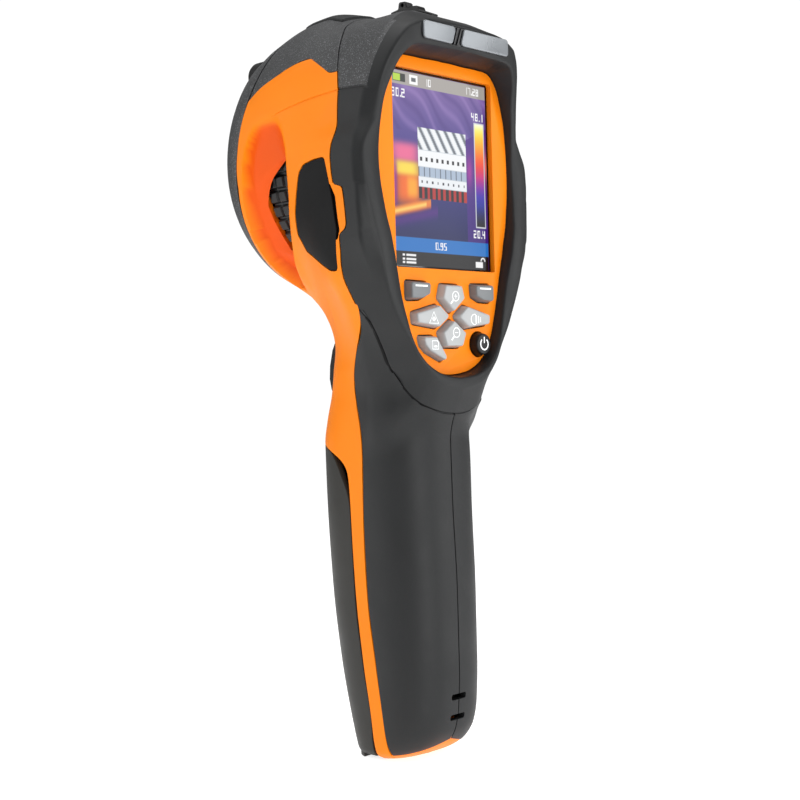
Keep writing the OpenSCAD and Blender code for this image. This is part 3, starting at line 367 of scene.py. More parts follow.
def prism(outline, y0, y1):
    """Solid with an outline in X and Z between two depths."""
    o = np.asarray(outline, float)
    n = len(o)
    faces = [tuple(range(n)), tuple(range(2 * n - 1, n - 1, -1))]
    faces += [(i, n + i, n + (i + 1) % n, (i + 1) % n) for i in range(n)]
    return np.concatenate([at_depth(o, y0), at_depth(o, y1)]), faces


def along_x(outline, x0, x1):
    """Solid with an outline in Y and Z between two X values."""
    v, f = prism(outline, x0, x1)
    return v[:, [1, 0, 2]], [face[::-1] for face in f]


def rounded(points, radius, steps=7):
    """Outline with its corners rounded by arcs."""
    p = np.array(points, float)
    out = []
    for i in range(len(p)):
        a, b, c = p[i - 1], p[i], p[(i + 1) % len(p)]
        u, v = unit(a - b), unit(c - b)
        half = math.acos(float(np.clip((u * v).sum(), -1, 1))) / 2
        r = min(radius, 0.45 * min(np.linalg.norm(a - b), np.linalg.norm(c - b)) * math.tan(half))
        reach_in = r / math.tan(half)
        mid = b + unit(u + v) * r / math.sin(half)
        t0, t1 = b + u * reach_in - mid, b + v * reach_in - mid
        a0, a1 = math.atan2(t0[1], t0[0]), math.atan2(t1[1], t1[0])
        turn = (a1 - a0 + math.pi) % (2 * math.pi) - math.pi
        for k in range(steps + 1):
            ang = a0 + turn * k / steps
            out.append(mid + r * np.array([math.cos(ang), math.sin(ang)]))
    return np.array(out)


def box_outline(x0, z0, x1, z1):
    return [(x0, z0), (x1, z0), (x1, z1), (x0, z1)]


def circle(radius, count=48, centre=(0, 0)):
    t = np.arange(count) * 2 * math.pi / count
    return np.stack([centre[0] + radius * np.cos(t), centre[1] + radius * np.sin(t)], 1)


def turned(profile, count=96, centre=(0, LENS_Z)):
    """Ring or disc turned about an axis along Y: profile points are (radius, depth)."""
    t = np.arange(count) * 2 * math.pi / count
    loops = np.array([[(centre[0] + r * math.cos(a), y, centre[1] + r * math.sin(a)) for r, y in profile]
                      for a in t])
    closed = min(r for r, _ in profile) > 1e-6
    faces = grid_faces(count, len(profile), 0, True, closed)
    return loops.reshape(-1, 3), faces


def rod(start, end, radius, count=32):
    a, b = np.array(start, float), np.array(end, float)
    w = unit(b - a)
    u = unit(np.cross(w, [0.3, 0.5, 0.81]))
    v = np.cross(w, u)
    t = np.arange(count) * 2 * math.pi / count
    ring = radius * (np.cos(t)[:, None] * u + np.sin(t)[:, None] * v)
    faces = [tuple(range(count - 1, -1, -1)), tuple(range(count, 2 * count))]
    faces += [(i, (i + 1) % count, count + (i + 1) % count, count + i) for i in range(count)]
    return np.concatenate([a + ring, b + ring]), faces


# ---------------------------------------------------------------- materials
def linear(colour):
    """Linear RGBA from an sRGB hex colour."""
    v = [int(colour[i:i + 2], 16) / 255 for i in (0, 2, 4)]
    return tuple(c / 12.92 if c <= 0.04045 else ((c + 0.055) / 1.055) ** 2.4 for c in v) + (1.0,)


def shade(colour, factor):
    return tuple(min(1.0, c * factor) for c in colour[:3]) + (1.0,)


def material(name, colour, rough=0.5, vary=0.05, grain=0.3, bump=0.15, depth=0.03, wear=0.06, metal=0.0,
             specks=None, coat=0.0, level=0.5, recess_shade=None):
    """Procedural finish: fine grain, patches of uneven gloss, slight uneven colour, light specks and, where
    asked, painted shade in a recess.
    """
    mat = bpy.data.materials.new(name)
    mat.use_nodes = True
    nodes, links = mat.node_tree.nodes, mat.node_tree.links
    bsdf = nodes["Principled BSDF"]
    bsdf.inputs["Metallic"].default_value = metal
    bsdf.inputs["Specular IOR Level"].default_value = level
    bsdf.inputs["Coat Weight"].default_value = coat
    where = nodes.new("ShaderNodeTexCoord")

    def noise(size, detail, roughness=0.5):
        n = nodes.new("ShaderNodeTexNoise")
        n.inputs["Scale"].default_value = 1 / (size * MM)
        n.inputs["Detail"].default_value = detail
        n.inputs["Roughness"].default_value = roughness
        links.new(where.outputs["Object"], n.inputs["Vector"])
        return n

    broad = noise(14, 4, 0.6)
    fine = noise(grain, 3, 0.6)
    gloss = nodes.new("ShaderNodeMapRange")
    gloss.inputs["From Min"].default_value, gloss.inputs["From Max"].default_value = 0.3, 0.7
    gloss.inputs["To Min"].default_value, gloss.inputs["To Max"].default_value = rough - vary, rough + vary
    links.new(broad.outputs["Fac"], gloss.inputs["Value"])
    links.new(gloss.outputs["Result"], bsdf.inputs["Roughness"])
    ramp = nodes.new("ShaderNodeValToRGB")
    base = linear(colour)
    ramp.color_ramp.elements[0].position, ramp.color_ramp.elements[1].position = 0.3, 0.7
    ramp.color_ramp.elements[0].color = shade(base, 1 - wear)
    ramp.color_ramp.elements[1].color = shade(base, 1 + wear)
    links.new(broad.outputs["Fac"], ramp.inputs["Fac"])
    colour_out = ramp.outputs["Color"]

    def tint(share, other):
        mix = nodes.new("ShaderNodeMix")
        mix.data_type = "RGBA"
        links.new(share, mix.inputs["Factor"])
        links.new(colour_out, mix.inputs["A"])
        mix.inputs["B"].default_value = linear(other)
        return mix.outputs["Result"]

    if specks:
        dots = nodes.new("ShaderNodeValToRGB")
        first, last = dots.color_ramp.elements
        first.position, last.position = specks[1], specks[1] + 0.08
        links.new(fine.outputs["Fac"], dots.inputs["Fac"])
        colour_out = tint(dots.outputs["Color"], specks[0])
    # Painted shade: a darker colour mixed in by a mesh attribute, standing for the shade and bounced orange
    # light in a recess.
    if recess_shade:
        hollow = nodes.new("ShaderNodeAttribute")
        hollow.attribute_name = "hollow"
        colour_out = tint(hollow.outputs["Fac"], recess_shade)
    links.new(colour_out, bsdf.inputs["Base Color"])
    raise_it = nodes.new("ShaderNodeBump")
    raise_it.inputs["Strength"].default_value = bump
    raise_it.inputs["Distance"].default_value = depth * MM
    links.new(fine.outputs["Fac"], raise_it.inputs["Height"])
    links.new(raise_it.outputs["Normal"], bsdf.inputs["Normal"])
    return mat


def screen_material():
    """The lit picture: colours stored on the mesh, under a clear glossy face."""
    mat = material("screen_picture", "050508", rough=0.12, vary=0.02, grain=3, bump=0.01, level=0.2)
    nodes, links = mat.node_tree.nodes, mat.node_tree.links
    bsdf = nodes["Principled BSDF"]
    picture = nodes.new("ShaderNodeVertexColor")
    picture.layer_name = "picture"
    links.new(picture.outputs["Color"], bsdf.inputs["Emission Color"])
    bsdf.inputs["Emission Strength"].default_value = 1.0
    return mat


# The second orange, DE5206, is painted shade and bounced light in the finger scoop's recess.
ORANGE = material("orange_abs", "EC7E0C", rough=0.38, grain=0.5, bump=0.08, wear=0.03, level=0.13,
                  recess_shade="DE5206")
RUBBER = material("charcoal_rubber", "1A1B1C", grain=0.22, bump=0.35,
                  specks=("232425", 0.60), level=0.3)
GRAINY = material("speckled_grey", "2A2B2C", rough=0.48, vary=0.06, grain=0.42, bump=0.8, depth=0.07,
                  specks=("66676A", 0.56))
DOOR = material("door_charcoal", "201F1B", rough=0.48, grain=0.25, bump=0.30, level=0.3)
BLACK = material("black_plastic", "0C0C0D", rough=0.38, bump=0.12, level=0.3)
SEAL = material("soft_black", "0B0B0C", rough=0.55, vary=0.06, grain=0.25, bump=0.25, level=0.15)
PLATE = material("plate_silver", "808488", rough=0.30, grain=0.2, bump=0.10, metal=0.3)
PLATE_DARK = material("plate_black", "151517", rough=0.35, bump=0.1)
KEY_SILVER = material("key_silver", "A3A5A6", rough=0.42, grain=0.25, bump=0.12, wear=0.04)
KEY_GREY = material("key_grey", "6C6F71", rough=0.42, grain=0.25, bump=0.12)
MARK = material("mark_white", "F4F6F6", rough=0.4, grain=0.2, bump=0.05, wear=0.02)
GLASS_BLACK = material("screen_edge", "060608", rough=0.08, vary=0.02, grain=3, bump=0.01, coat=0.4)
GERMANIUM = material("germanium", "4A3F52", rough=0.10, vary=0.03, grain=2, bump=0.02, metal=0.9, wear=0.15)
GLASS = material("port_glass", "20262E", rough=0.06, vary=0.02, grain=3, bump=0.01, coat=0.6)
LAMP = material("lamp_glass", "D8DAD2", rough=0.15, vary=0.04, grain=1.2, bump=0.3, coat=0.5)
STEEL = material("steel", "A9ABAD", rough=0.30, vary=0.08, grain=0.2, metal=1.0)
ALUMINIUM = material("aluminium", "B8BABC", rough=0.38, vary=0.06, bump=0.12, metal=1.0)
BRASS = material("brass", "C09A4C", rough=0.30, vary=0.08, grain=0.25, bump=0.12, metal=1.0)
BOARD = material("board_green", "10452A", rough=0.35, vary=0.06, grain=0.5, bump=0.12, wear=0.15)
FILM = material("flex_film", "B87820", rough=0.28, grain=0.6, bump=0.08)
SCREEN = screen_material()

SLOT_FINISH = {
    "orange_plastic": ORANGE, "charcoal_rubber": RUBBER, "grey_plastic": GRAINY, "charcoal_plastic": DOOR,
    "black_plastic": BLACK, "light_plastic": PLATE, "key_grey": KEY_GREY, "key_silver": KEY_SILVER,
    "screen_glass": GLASS_BLACK, "clear_glass": GLASS, "germanium": GERMANIUM, "seal_rubber": SEAL,
    "aluminium": ALUMINIUM, "steel": STEEL, "brass": BRASS, "gold": BRASS, "board_green": BOARD,
    "flex_film": FILM}


# ---------------------------------------------------------------- seam lines (right side)
# Depth of the seam between the front and rear housings, by angle round the face from straight up
REAR_SEAM = curve([
    (0, 9), (9, 7.6), (17, 4.4), (26.2, -0.9), (32.9, -3.1), (38.3, -4.8), (44.8, -6.7), (51.9, -7.6),
    (60.5, -8.8), (67.2, -8.1), (73.5, -8.4), (80.8, -9.1), (82, -9.4), (84.1, -12.9), (99, -13.9),
    (101.5, -13.3), (104.1, -10.7), (110.8, -10.1), (117.4, -9.1), (124.1, -8.6), (134, -9),
    (142.8, -11.9), (149, -12.2), (155.8, -12.6), (161.3, -13.8), (163.9, -15.9), (166.9, -18.1),
    (171.3, -19.6), (180, -19.8)])
# Distance of that seam from the centre of the face, below the keys
SEAM_RADIUS = curve([(140, 43.4), (146.1, 45.5), (152.3, 48.7), (156.1, 51.6), (161.3, 55.1), (163.9, 58),
                     (166.9, 60.3), (171.1, 61.4), (175.9, 62), (180, 62.2)])
RIM_RADIUS = curve([
    (0, 53.1), (10.5, 53.7), (18.8, 55.2), (24.5, 55.2), (28.2, 54), (32.7, 51.7), (37, 49.1),
    (41.7, 46.1), (44.8, 44.1), (50, 41.2), (54.7, 39.6), (59, 39.6), (64.6, 39.8), (73.6, 38.3),
    (86.2, 35.9), (100.5, 34.8), (114.5, 35.3), (125.6, 37.3), (137.8, 40.5), (144.8, 42.8),
    (152.9, 45.7), (160.6, 49.8), (169.1, 52.6), (180, 54)])
RIM_DEPTH = curve([
    (0, -28.4), (18.8, -28.2), (24.5, -27.6), (28.2, -26.6), (32.7, -25), (37, -23.4), (41.7, -22.1),
    (44.8, -21.6), (54.7, -20.6), (64.6, -20.2), (86.2, -21), (100.5, -21.8), (114.5, -22.2),
    (137.8, -21.6), (152.9, -22.2), (169.1, -23.3), (180, -23.4)])
PANEL_RADIUS = curve([
    (0, 44.2), (10, 44.8), (20, 46.9), (24, 48), (26.1, 48.3), (28.5, 47.9), (32, 46.7), (37.6, 43.6),
    (43.1, 40.8), (52.6, 36.3), (64.4, 32.4), (78.4, 29.7), (92, 28.4), (105.4, 28.2), (118.6, 29.3),
    (129.8, 31.5), (139.9, 35.3), (147.3, 39.2), (153, 43), (158.4, 46.3), (164.4, 48.7), (171.4, 50),
    (180, 50.4)])
# Each row: point on the rear edge of the orange housing, point on its front edge, inner point
HEAD_ROWS = [
    (33.5, -6.7, 201.8, 36.6, 32.1, 198, 0, 8, 184),
    (35, -7.6, 195.4, 37.7, 32.6, 192.5, 0, 8, 184),
    (36.7, -8.8, 188.8, 38.4, 33.1, 186.5, 0, 8, 184),
    (38.4, -8.4, 179, 38.2, 33.7, 177.5, 0, 8, 184),
    (38.3, -9.1, 174.2, 37, 34.1, 173, 0, 8, 183),
    (38.4, -13.4, 167, 34, 34.9, 166, 0, 8, 181),
    (38, -13.9, 162, 30.8, 35.5, 161, 0, 8, 179),
    (36.3, -10.1, 154.2, 23, 36.4, 153.5, 0, 8, 173),
    (34.7, -9.1, 150, 17, 36.8, 150.5, 0, 8, 169),
    (32.5, -8.6, 146, 10, 37, 149, 0, 7, 164),
    (29.5, -9, 140, 4, 37, 148.2, 0, 7, 159),
    (26.3, -7.6, 136.6, 0, 35, 146.5, 0, 6, 152),
    (22.8, -4.8, 133, 0, 28, 142, 0, 5, 144),
    (21, -2.5, 129, 0, 22, 135, 0, 4, 136),
    (20.5, -0.6, 125, 0, 20.5, 128, 0, 4, 129),
    (20.4, 1, 121.4, 0, 21, 121.4, 0, 4, 122),
    (20.2, 2.4, 117.6, 0, 22, 117, 0, 4, 117),
    (19.8, 3.1, 113.4, 0, 23.2, 112.5, 0, 4, 113),
    (19.5, 2.6, 107.8, 0, 25, 106, 0, 4, 107),
    (19.4, 1.7, 102.7, 0, 26.3, 102, 0, 4, 102),
    (19.2, 1.3, 96, 0, 27.2, 96, 0, 3, 96),
    (19.2, 1.5, 85, 0, 27.2, 85, 0, 3, 85),
    (18.9, 1.8, 66, 0, 26.7, 66, 0, 3, 66),
    (18.6, 1.2, 49, 0, 25.6, 49, 0, 2, 49),
    (18.2, -1, 30.5, 0, 23, 30.5, 0, 1, 30.5),
    (17.3, -3.2, 11.3, 0, 18.6, 11.3, 0, 0, 11.3),
    (16.2, -3.5, 5, 0, 17, 5, 0, 0, 5),
    (14.6, -3.6, 1.2, 0, 15.4, 1.2, 0, 0, 1.2)]
HOUSING_TOP = [
    (31.7, -4.8, 208), (32.1, -2.2, 208.2), (31.6, 1.8, 210.5), (30.9, 5, 212.4), (30.3, 8, 214.1),
    (30.6, 10.5, 213.7), (31.2, 14.5, 212.4), (32.4, 19.8, 210.4), (33.8, 27.4, 207), (34.9, 31.3, 203.8)]
GRIP_ROWS = [
    (27.6, -10, 137.6, 27.9, -8.7, 137.9, 0, 6, 150),
    (25.9, -11.9, 132.6, 22.4, -5.1, 132.5, 0, 5, 142),
    (23.7, -12.3, 127.6, 20.7, -2.9, 128.7, 0, 4, 134),
    (20.9, -12.9, 120.8, 20.2, 0.2, 122.7, 0, 3, 125),
    (17.6, -13.9, 115.8, 19.9, 2, 117.6, 0, 3, 119),
    (16.2, -16, 112.2, 19.5, 2.6, 113.4, 0, 3, 115),
    (13.8, -18.2, 109.2, 19.3, 2.4, 110, 0, 3, 111),
    (9, -19.8, 107.1, 19.2, 2.1, 107.8, 0, 3, 108),
    (0.2, -19.8, 105.7, 19.1, 1.4, 104.3, 0, 2, 105),
    (0.2, -18.2, 99, 19, 0.8, 98.5, 0, 2, 99),
    (0.2, -17.9, 90, 19, 0.9, 90, 0, 2, 90),
    (0.2, -18.2, 75, 18.8, 1.3, 75, 0, 2, 75),
    (0.2, -19, 52, 18.5, 0.9, 52, 0, 1, 52),
    (0.2, -19, 30.5, 18, -1.4, 30.5, 0, 0, 30.5),
    (0.2, -18, 15, 17.2, -3.1, 13, 0, 0, 15),
    (0.2, -16.6, 11, 16.8, -3.6, 8, 0, 0, 11),
    (0.2, -15.4, 8.2, 15.7, -3.9, 4.4, 0, 0, 8.4),
    (0.2, -14.3, 6.3, 14.6, -4.1, 2.2, 0, 0, 6.6)]
# Underside: point on the right edge, and inner point
BASE_ROWS = [
    (15.5, 1.2, 1.6, 0, 1.2, 9), (15.2, -1.5, 1.9, 0, 0.5, 9), (14.6, -4.1, 2.5, 0, -1, 9),
    (12.4, -7.2, 3, 0, -2, 10), (9.6, -10.6, 4.2, 0, -3, 11), (5.5, -13.2, 5.8, 0, -3, 12),
    (0.5, -14.6, 6.9, 0, -3, 13)]
# Rear edge of the opening for the battery door, in Y and Z
OPENING_EDGE = [(21.7, 96.8), (16.3, 94.9), (11.9, 92.9), (9.4, 91), (7.8, 88.3), (7.2, 83.6),
                (6.6, 63), (6, 50), (4, 30), (1.7, 11.3), (1.5, 5)]
SOCKET_COVER = [
    (-5.6, 181.5), (-7.2, 174.8), (-8.6, 168), (-9.4, 160.5), (-8.6, 156.6), (-7.1, 148.5), (-3.8, 149),
    (2.8, 152.4), (9.2, 155.8), (11.2, 161), (9.6, 166.5), (7.8, 171), (5.4, 178.2), (3.4, 180.3),
    (-0.8, 181.2)]
# Low step behind the cover, where a nail lifts it
COVER_STEP = [(-6.6, 176), (-10, 169.6), (-10.9, 160), (-9.6, 157.2), (-7.6, 157.6), (-7, 168)]
STEP_CENTRE = (-8.6, 166.5)


def ring_seam(z):
    """Depth of the seam between the orange barrel and the front ring."""
    return 33.3 - 0.095 * (z - LENS_Z)


def skin_at(zc, angle, y):
    """Skin points on rays across the body at the given angles from straight up, depth by depth."""
    angle, y = np.broadcast_arrays(np.asarray(angle, float), np.asarray(y, float))
    a = np.radians(angle)
    o = np.stack([0 * y, y, zc + 0 * y], -1)
    d = np.stack([np.sin(a), 0 * a, np.cos(a)], -1)
    return reach(o, d, 12 + 0 * y, 75 + 0 * y)


def polar(zc, angle, radius, y):
    """Points at an angle from straight up and a distance from an axis along Y at height zc."""
    a = np.radians(angle)
    return np.stack([radius * np.sin(a), y + 0 * a, zc + radius * np.cos(a)], -1)


# ---------------------------------------------------------------- shells
def sunk(points, origins, depth):
    return points - unit(points - origins[:, None]) * depth


def on_seam(points):
    """Moves rear-edge points of the head onto the seam line."""
    p = points.copy()
    angle = np.degrees(np.arctan2(p[:, 0], p[:, 2] - FACE_Z))
    high = (p[:, 2] > 139.6) & (angle > 40)
    y = REAR_SEAM(angle) + SEAM / 2
    r = skin_at(FACE_Z, angle, y)
    moved = polar(FACE_Z, angle, r, y)
    p[high] = moved[high]
    return p


def housing_half():
    rows = path(HEAD_ROWS, spacing=0.8)
    rear, front, origins = on_seam(rows[:, :3]), rows[:, 3:6], rows[:, 6:9]
    front[front[:, 0] < 0.05, 0] = 0
    cols = 66
    shares = np.linspace(0, 1, cols)
    body = patch(origins, rear, front, shares, orange_value)
    top = path(HOUSING_TOP, count=cols)
    o = np.array([0, 8, LENS_Z])
    ray = unit(top - o)
    near, far = np.full(cols, 28.0), np.full(cols, 56.0)
    top = o + ray * reach(o + 0 * top, ray, near, far, orange_value)[:, None]
    steps = 9
    crown = []
    for i in range(steps):
        row = top + (body[0] - top) * (i / steps)
        ray = unit(row - o)
        crown.append(o + ray * reach(o + 0 * row, ray, near, far, orange_value)[:, None])
    outer = np.concatenate([np.array(crown), body])
    origins = np.concatenate([np.repeat(o[None], steps, 0), origins])
    outer[np.abs(outer[..., 0]) < 0.03, 0] = 0
    inner = sunk(outer, origins, WALL)
    inner[..., 0] = np.where(outer[..., 0] == 0, 0, inner[..., 0])
    return shell(outer, inner, open_last=True)


def flank_plug(side, outline, depth, proud, spread=0.0, rings=10, centre=(0.8, 166.5)):
    """Solid under one flank with an outline in Y and Z, its faces following the skin."""
    o = np.array(outline, float)
    mid = np.array(centre, float)
    o = mid + (o - mid) * (1 + spread / np.linalg.norm(o - mid, axis=1, keepdims=True))
    n = len(o)
    verts, faces = [], []
    for level in (-depth, proud):
        for k in range(rings):
            ring = mid + (o - mid) * (1 - k / rings)
            p = flank(side, ring[:, 0], ring[:, 1])
            p[:, 0] += side * level
            verts.append(p)
        p = flank(side, [mid[0]], [mid[1]])
        p[:, 0] += side * level
        verts.append(p)
    half = rings * n + 1
    for base in (0, half):
        faces += grid_faces(rings, n, base, False, True)
        last = base + (rings - 1) * n
        faces += [(last + i, last + (i + 1) % n, base + rings * n) for i in range(n)]
    faces += [(i, (i + 1) % n, half + (i + 1) % n, half + i) for i in range(n)]
    return np.concatenate(verts), faces


def even_loop(points, spacing=0.6):
    """Points at even spacing round a closed outline."""
    closed = list(points) + [points[0]]
    p = np.array(closed, float)
    at = np.concatenate([[0], np.cumsum(np.linalg.norm(np.diff(p, axis=0), axis=1))])
    n = int(at[-1] / spacing)
    t = np.linspace(0, at[-1], n, endpoint=False)
    return np.stack([np.interp(t, at, p[:, i]) for i in range(2)], 1)


def door_prism(edge, top):
    """Everything in front of an edge line, as a prism across the handle."""
    e = path(edge, count=60)
    outline = [(45, top), (e[0][0] + 3, top)] + [tuple(q) for q in e] + [(e[-1][0] - 0.2, -3), (45, -3)]
    return along_x(outline, -30, 30)


TRIGGER_HALF = 7.4
TRIGGER_GAP_HALF = TRIGGER_HALF + 0.5
trigger_gap = along_x(rounded(box_outline(13, 109.8, 33, 134.2), 1.5), -TRIGGER_GAP_HALF, TRIGGER_GAP_HALF)
focus_bay = turned([(0, 8.4), (35.3, 8.4), (35.3, 25.6), (0, 25.6)], 128)


def slab(outline, z0, z1):
    """Flat solid with an outline in X and Y."""
    v, f = prism(outline, z0, z1)
    return v[:, [0, 2, 1]], [face[::-1] for face in f]


def front_housing():
    half = housing_half()
    ob = raw_object("front_housing", joined(half, mirrored(half)), weld=0.004)
    cut(ob, focus_bay, trigger_gap, door_prism(OPENING_EDGE, 96.9))
    cover = even_loop(rounded(SOCKET_COVER, 1.6))
    step = even_loop(rounded(COVER_STEP, 0.8))
    for side in (-1, 1):
        cut(ob, flank_plug(side, cover, 1.6, 2.5, 0.3))
        cut(ob, flank_plug(side, step, 1.5, 2.5, 0.1, centre=STEP_CENTRE))
    crease = path([(21.5, 195.6), (16, 197.4), (11.4, 198.6), (1.1, 200.8), (-6.6, 201.6)], count=24)
    groove = tube(flank(1, crease[:, 0], crease[:, 1]), 0.3)
    cut(ob, groove, mirrored(groove))
    finish_piece(ob, ORANGE, ROOT, "orange_plastic", ["front_housing"], bevel=0.3, limit=50)
    place = np.zeros(len(ob.data.vertices) * 3)
    ob.data.vertices.foreach_get("co", place)
    place = place.reshape(-1, 3) / MM
    # Painted shade: share of each point lying deep in the finger scoop, where the orange is painted darker.
    depth = ease((-body_value(place) - 0.3) / 1.3) * ease((2 - scoop_value(place)) / 1.5)
    ob.data.attributes.new("hollow", "FLOAT", "POINT").data.foreach_set("value", depth)
    rows = path(BASE_ROWS, spacing=0.9)
    cap = patch(rows[:, 3:], rows[:, :3], rows[:, :3] * [-1, 1, 1], np.linspace(0, 1, 64))
    cap[..., 2] = np.maximum(cap[..., 2], 0.02)
    tongue = slab(np.array([(-7.3, 1.25), (7.3, 1.25), (7.3, 5.2), (-7.3, 5.2)]), 0.1, 1.7)
    under = raw_object("front_housing_base",
                       joined(shell(sunk(cap, rows[:, 3:], 0.12), sunk(cap, rows[:, 3:], 1.7)), tongue))
    cut(under, rod((0, 0, -1), (0, 0, 20), 4.25, 64))
    finish_piece(under, ORANGE, ROOT, "orange_plastic", bevel=0.1, limit=50)


# ---------------------------------------------------------------- the other shells
def section_angles():
    """Angles round the face, closer together where the outline turns sharply."""
    half = np.unique(np.round(np.concatenate([
        np.linspace(0, 180, 161), np.linspace(20, 40, 31), np.linspace(79, 86, 25), np.linspace(99, 106, 21),
        np.linspace(150, 168, 31)]), 4))
    return np.concatenate([half, 360 - half[-2:0:-1]])


def folded(angles):
    return np.where(angles > 180, 360 - angles, angles)


def seam_radius(angles):
    a = folded(angles)
    share = ease((a - 140) / 8)
    return skin_at(FACE_Z, angles, REAR_SEAM(a) - SEAM / 2) * (1 - share) + SEAM_RADIUS(a) * share


def rear_housing():
    angles = section_angles()
    a = folded(angles)
    seam_y, seam_r = REAR_SEAM(a) - SEAM / 2, seam_radius(angles)
    rim_y, rim_r, well = RIM_DEPTH(a), RIM_RADIUS(a), PANEL_RADIUS(a) + 0.25
    low = ease((a - 105) / 25)
    lip = np.maximum(0, -22.5 - rim_y) * 0.1

    def side(f):
        """Outer radius at a share f of the way from the seam to the rim."""
        share = max(0.0, (f - 0.72) / 0.28)
        skin = skin_at(FACE_Z, angles, seam_y + (rim_y - seam_y) * min(f, 0.72))
        upper = skin * (1 - share) + rim_r * share
        return upper * (1 - low) + (seam_r + (rim_r - seam_r) * f) * low

    loops = [polar(FACE_Z, angles, side(f), seam_y + (rim_y - seam_y) * f) for f in np.linspace(0, 0.95, 17)]
    floor_y = PANEL_Y + 2.4
    out = np.minimum(well + WALL, rim_r - 1.2)
    mid_y = seam_y + (rim_y - seam_y) * 0.35
    mid_r = np.maximum(side(0.35) - WALL, out + 0.1)
    inner = well + 0.8 + lip
    for r, y in [(rim_r - 0.12, rim_y + 0.14), (rim_r - 0.5, rim_y + 0.02), (inner + 0.3, rim_y + 0.1),
                 (inner - 0.1, rim_y + 0.35), (inner - 0.3, rim_y + 0.8),
                 (well, PANEL_Y + 0.2 + 0 * a), (well, floor_y + 0 * a),
                 (out, floor_y + 0 * a), (out + lip, rim_y + WALL + 0.4),
                 (np.maximum(rim_r - WALL, out + 0.05), rim_y + WALL + 0.4), (mid_r, mid_y),
                 (seam_r - WALL, seam_y)]:
        loops.append(polar(FACE_Z, angles, r, y))
    ob = raw_object("rear_housing", ring_solid(loops))
    line = path([(-5.5, 201.8), (-12, 201.4), (-18, 200.8), (-24.5, 199.8)], count=20)
    groove = tube(flank(1, line[:, 0], line[:, 1]), 0.45)
    plate_recess = prism(rounded(box_outline(-19.25, 214.65, 19.25, 220.35), 1.4), -27.9, -32)
    cut(ob, plate_recess, groove, mirrored(groove), lower_seam())
    finish_piece(ob, RUBBER, ROOT, "charcoal_rubber", ["rear_housing"], bevel=0.3, segments=3, limit=55,
                 sharp=50)
    ob.data.materials.append(GRAINY)
    centre = np.zeros(len(ob.data.polygons) * 3)
    ob.data.polygons.foreach_get("center", centre)
    centre = centre.reshape(-1, 3) / MM
    over = (centre[:, 2] > 202 + 0.1 * (centre[:, 1] + 5.5)) & (body_value(centre) > -0.3)
    over &= centre[:, 1] > RIM_DEPTH(0 * centre[:, 1]) + 3.6
    ob.data.polygons.foreach_set("material_index", over.astype(int))
    angle = np.linspace(140, 220, 80)
    gasket = polar(FACE_Z, angle, seam_radius(angle) - 0.7, REAR_SEAM(folded(angle)) + 0.6)
    piece("chin_gasket", tube(gasket, 0.7), SEAL, ROOT, "charcoal_rubber")


COVER_EDGE = curve([(-4.8, 52.9), (-2.2, 53), (1.8, 50), (5, 47.2), (8, 45.2), (10.5, 45.6), (14.5, 47.6),
                    (19.8, 50.6), (27.4, 55.8), (31.3, 60.4)])


def top_cover():
    t, s = np.linspace(0, 1, 48)[:, None], np.linspace(1, -1, 72)[None]
    edge = COVER_EDGE(-4.8 + t * 36.1) - 0.35
    angle = s * edge
    rear = REAR_SEAM(np.abs(angle) * 0.73) + SEAM / 2
    front = ring_seam(LENS_Z + 44 * np.cos(np.radians(angle))) - SEAM / 2
    y = rear * (1 - t) + front * t
    outer = polar(LENS_Z, angle, skin_at(LENS_Z, angle, y), y)
    axis = np.stack([0 * y, y, 0 * y + LENS_Z], -1)
    inner = outer - unit(outer - axis) * WALL
    ob = raw_object("top_cover", shell(outer, inner))
    cut(ob, prism(box_outline(-13.7, 224, 13.7, 244), 10.4, 34.4))
    finish_piece(ob, GRAINY, ROOT, "grey_plastic", ["top_cover"], bevel=0.3, limit=45)


def top_trim():
    y, angle = np.linspace(10.8, 28.3, 24)[:, None], np.linspace(16, -16, 30)[None]
    angle, y = np.broadcast_arrays(angle, y)
    r = skin_at(LENS_Z, angle, y)
    part = shell(polar(LENS_Z, angle, r + 0.7, y), polar(LENS_Z, angle, r - 2.6, y))
    piece("top_trim", part, RUBBER, ROOT, "charcoal_rubber", ["top_trim"], bevel=0.6, segments=3, limit=50)


def front_ring():
    angles = np.arange(0, 360, 1.5)
    a = np.radians(angles)
    y0 = ring_seam(LENS_Z + 38 * np.cos(a)) + SEAM / 2
    r0 = skin_at(LENS_Z, angles, y0)
    r1, r2 = skin_at(LENS_Z, angles, 38.4), skin_at(LENS_Z, angles, 40.4)
    section = [(r0, y0), (skin_at(LENS_Z, angles, (y0 + 38.4) / 2), (y0 + 38.4) / 2), (r1, 38.4), (r2, 40.4),
               (r2 - 1.6, FRONT_Y), (25.6, FRONT_Y), (25.6, 35.6), (27.6, 35.6), (27.6, 39), (r1 - 3, 39),
               (r0 - WALL, y0)]
    ob = raw_object("front_ring", ring_solid([polar(LENS_Z, angles, r, y) for r, y in section]))
    pods = [turned([(0, 30), (r, 30), (r, 44), (0, 44)], 48, c)
            for r, c in [(4.35, (-POD_X, POD_Z)), (4.35, (POD_X, POD_Z)), (2.15, (0, 219.5))]]
    cut(ob, *pods)
    finish_piece(ob, GRAINY, ROOT, "grey_plastic", ["front_ring"], bevel=0.35, segments=3, limit=35)


def lower_seam():
    """Groove along the seam between the rear housing and the grips."""
    angle = np.linspace(136, 224, 90)
    return tube(polar(FACE_Z, angle, seam_radius(angle), REAR_SEAM(folded(angle)) - 0.1), 0.36)


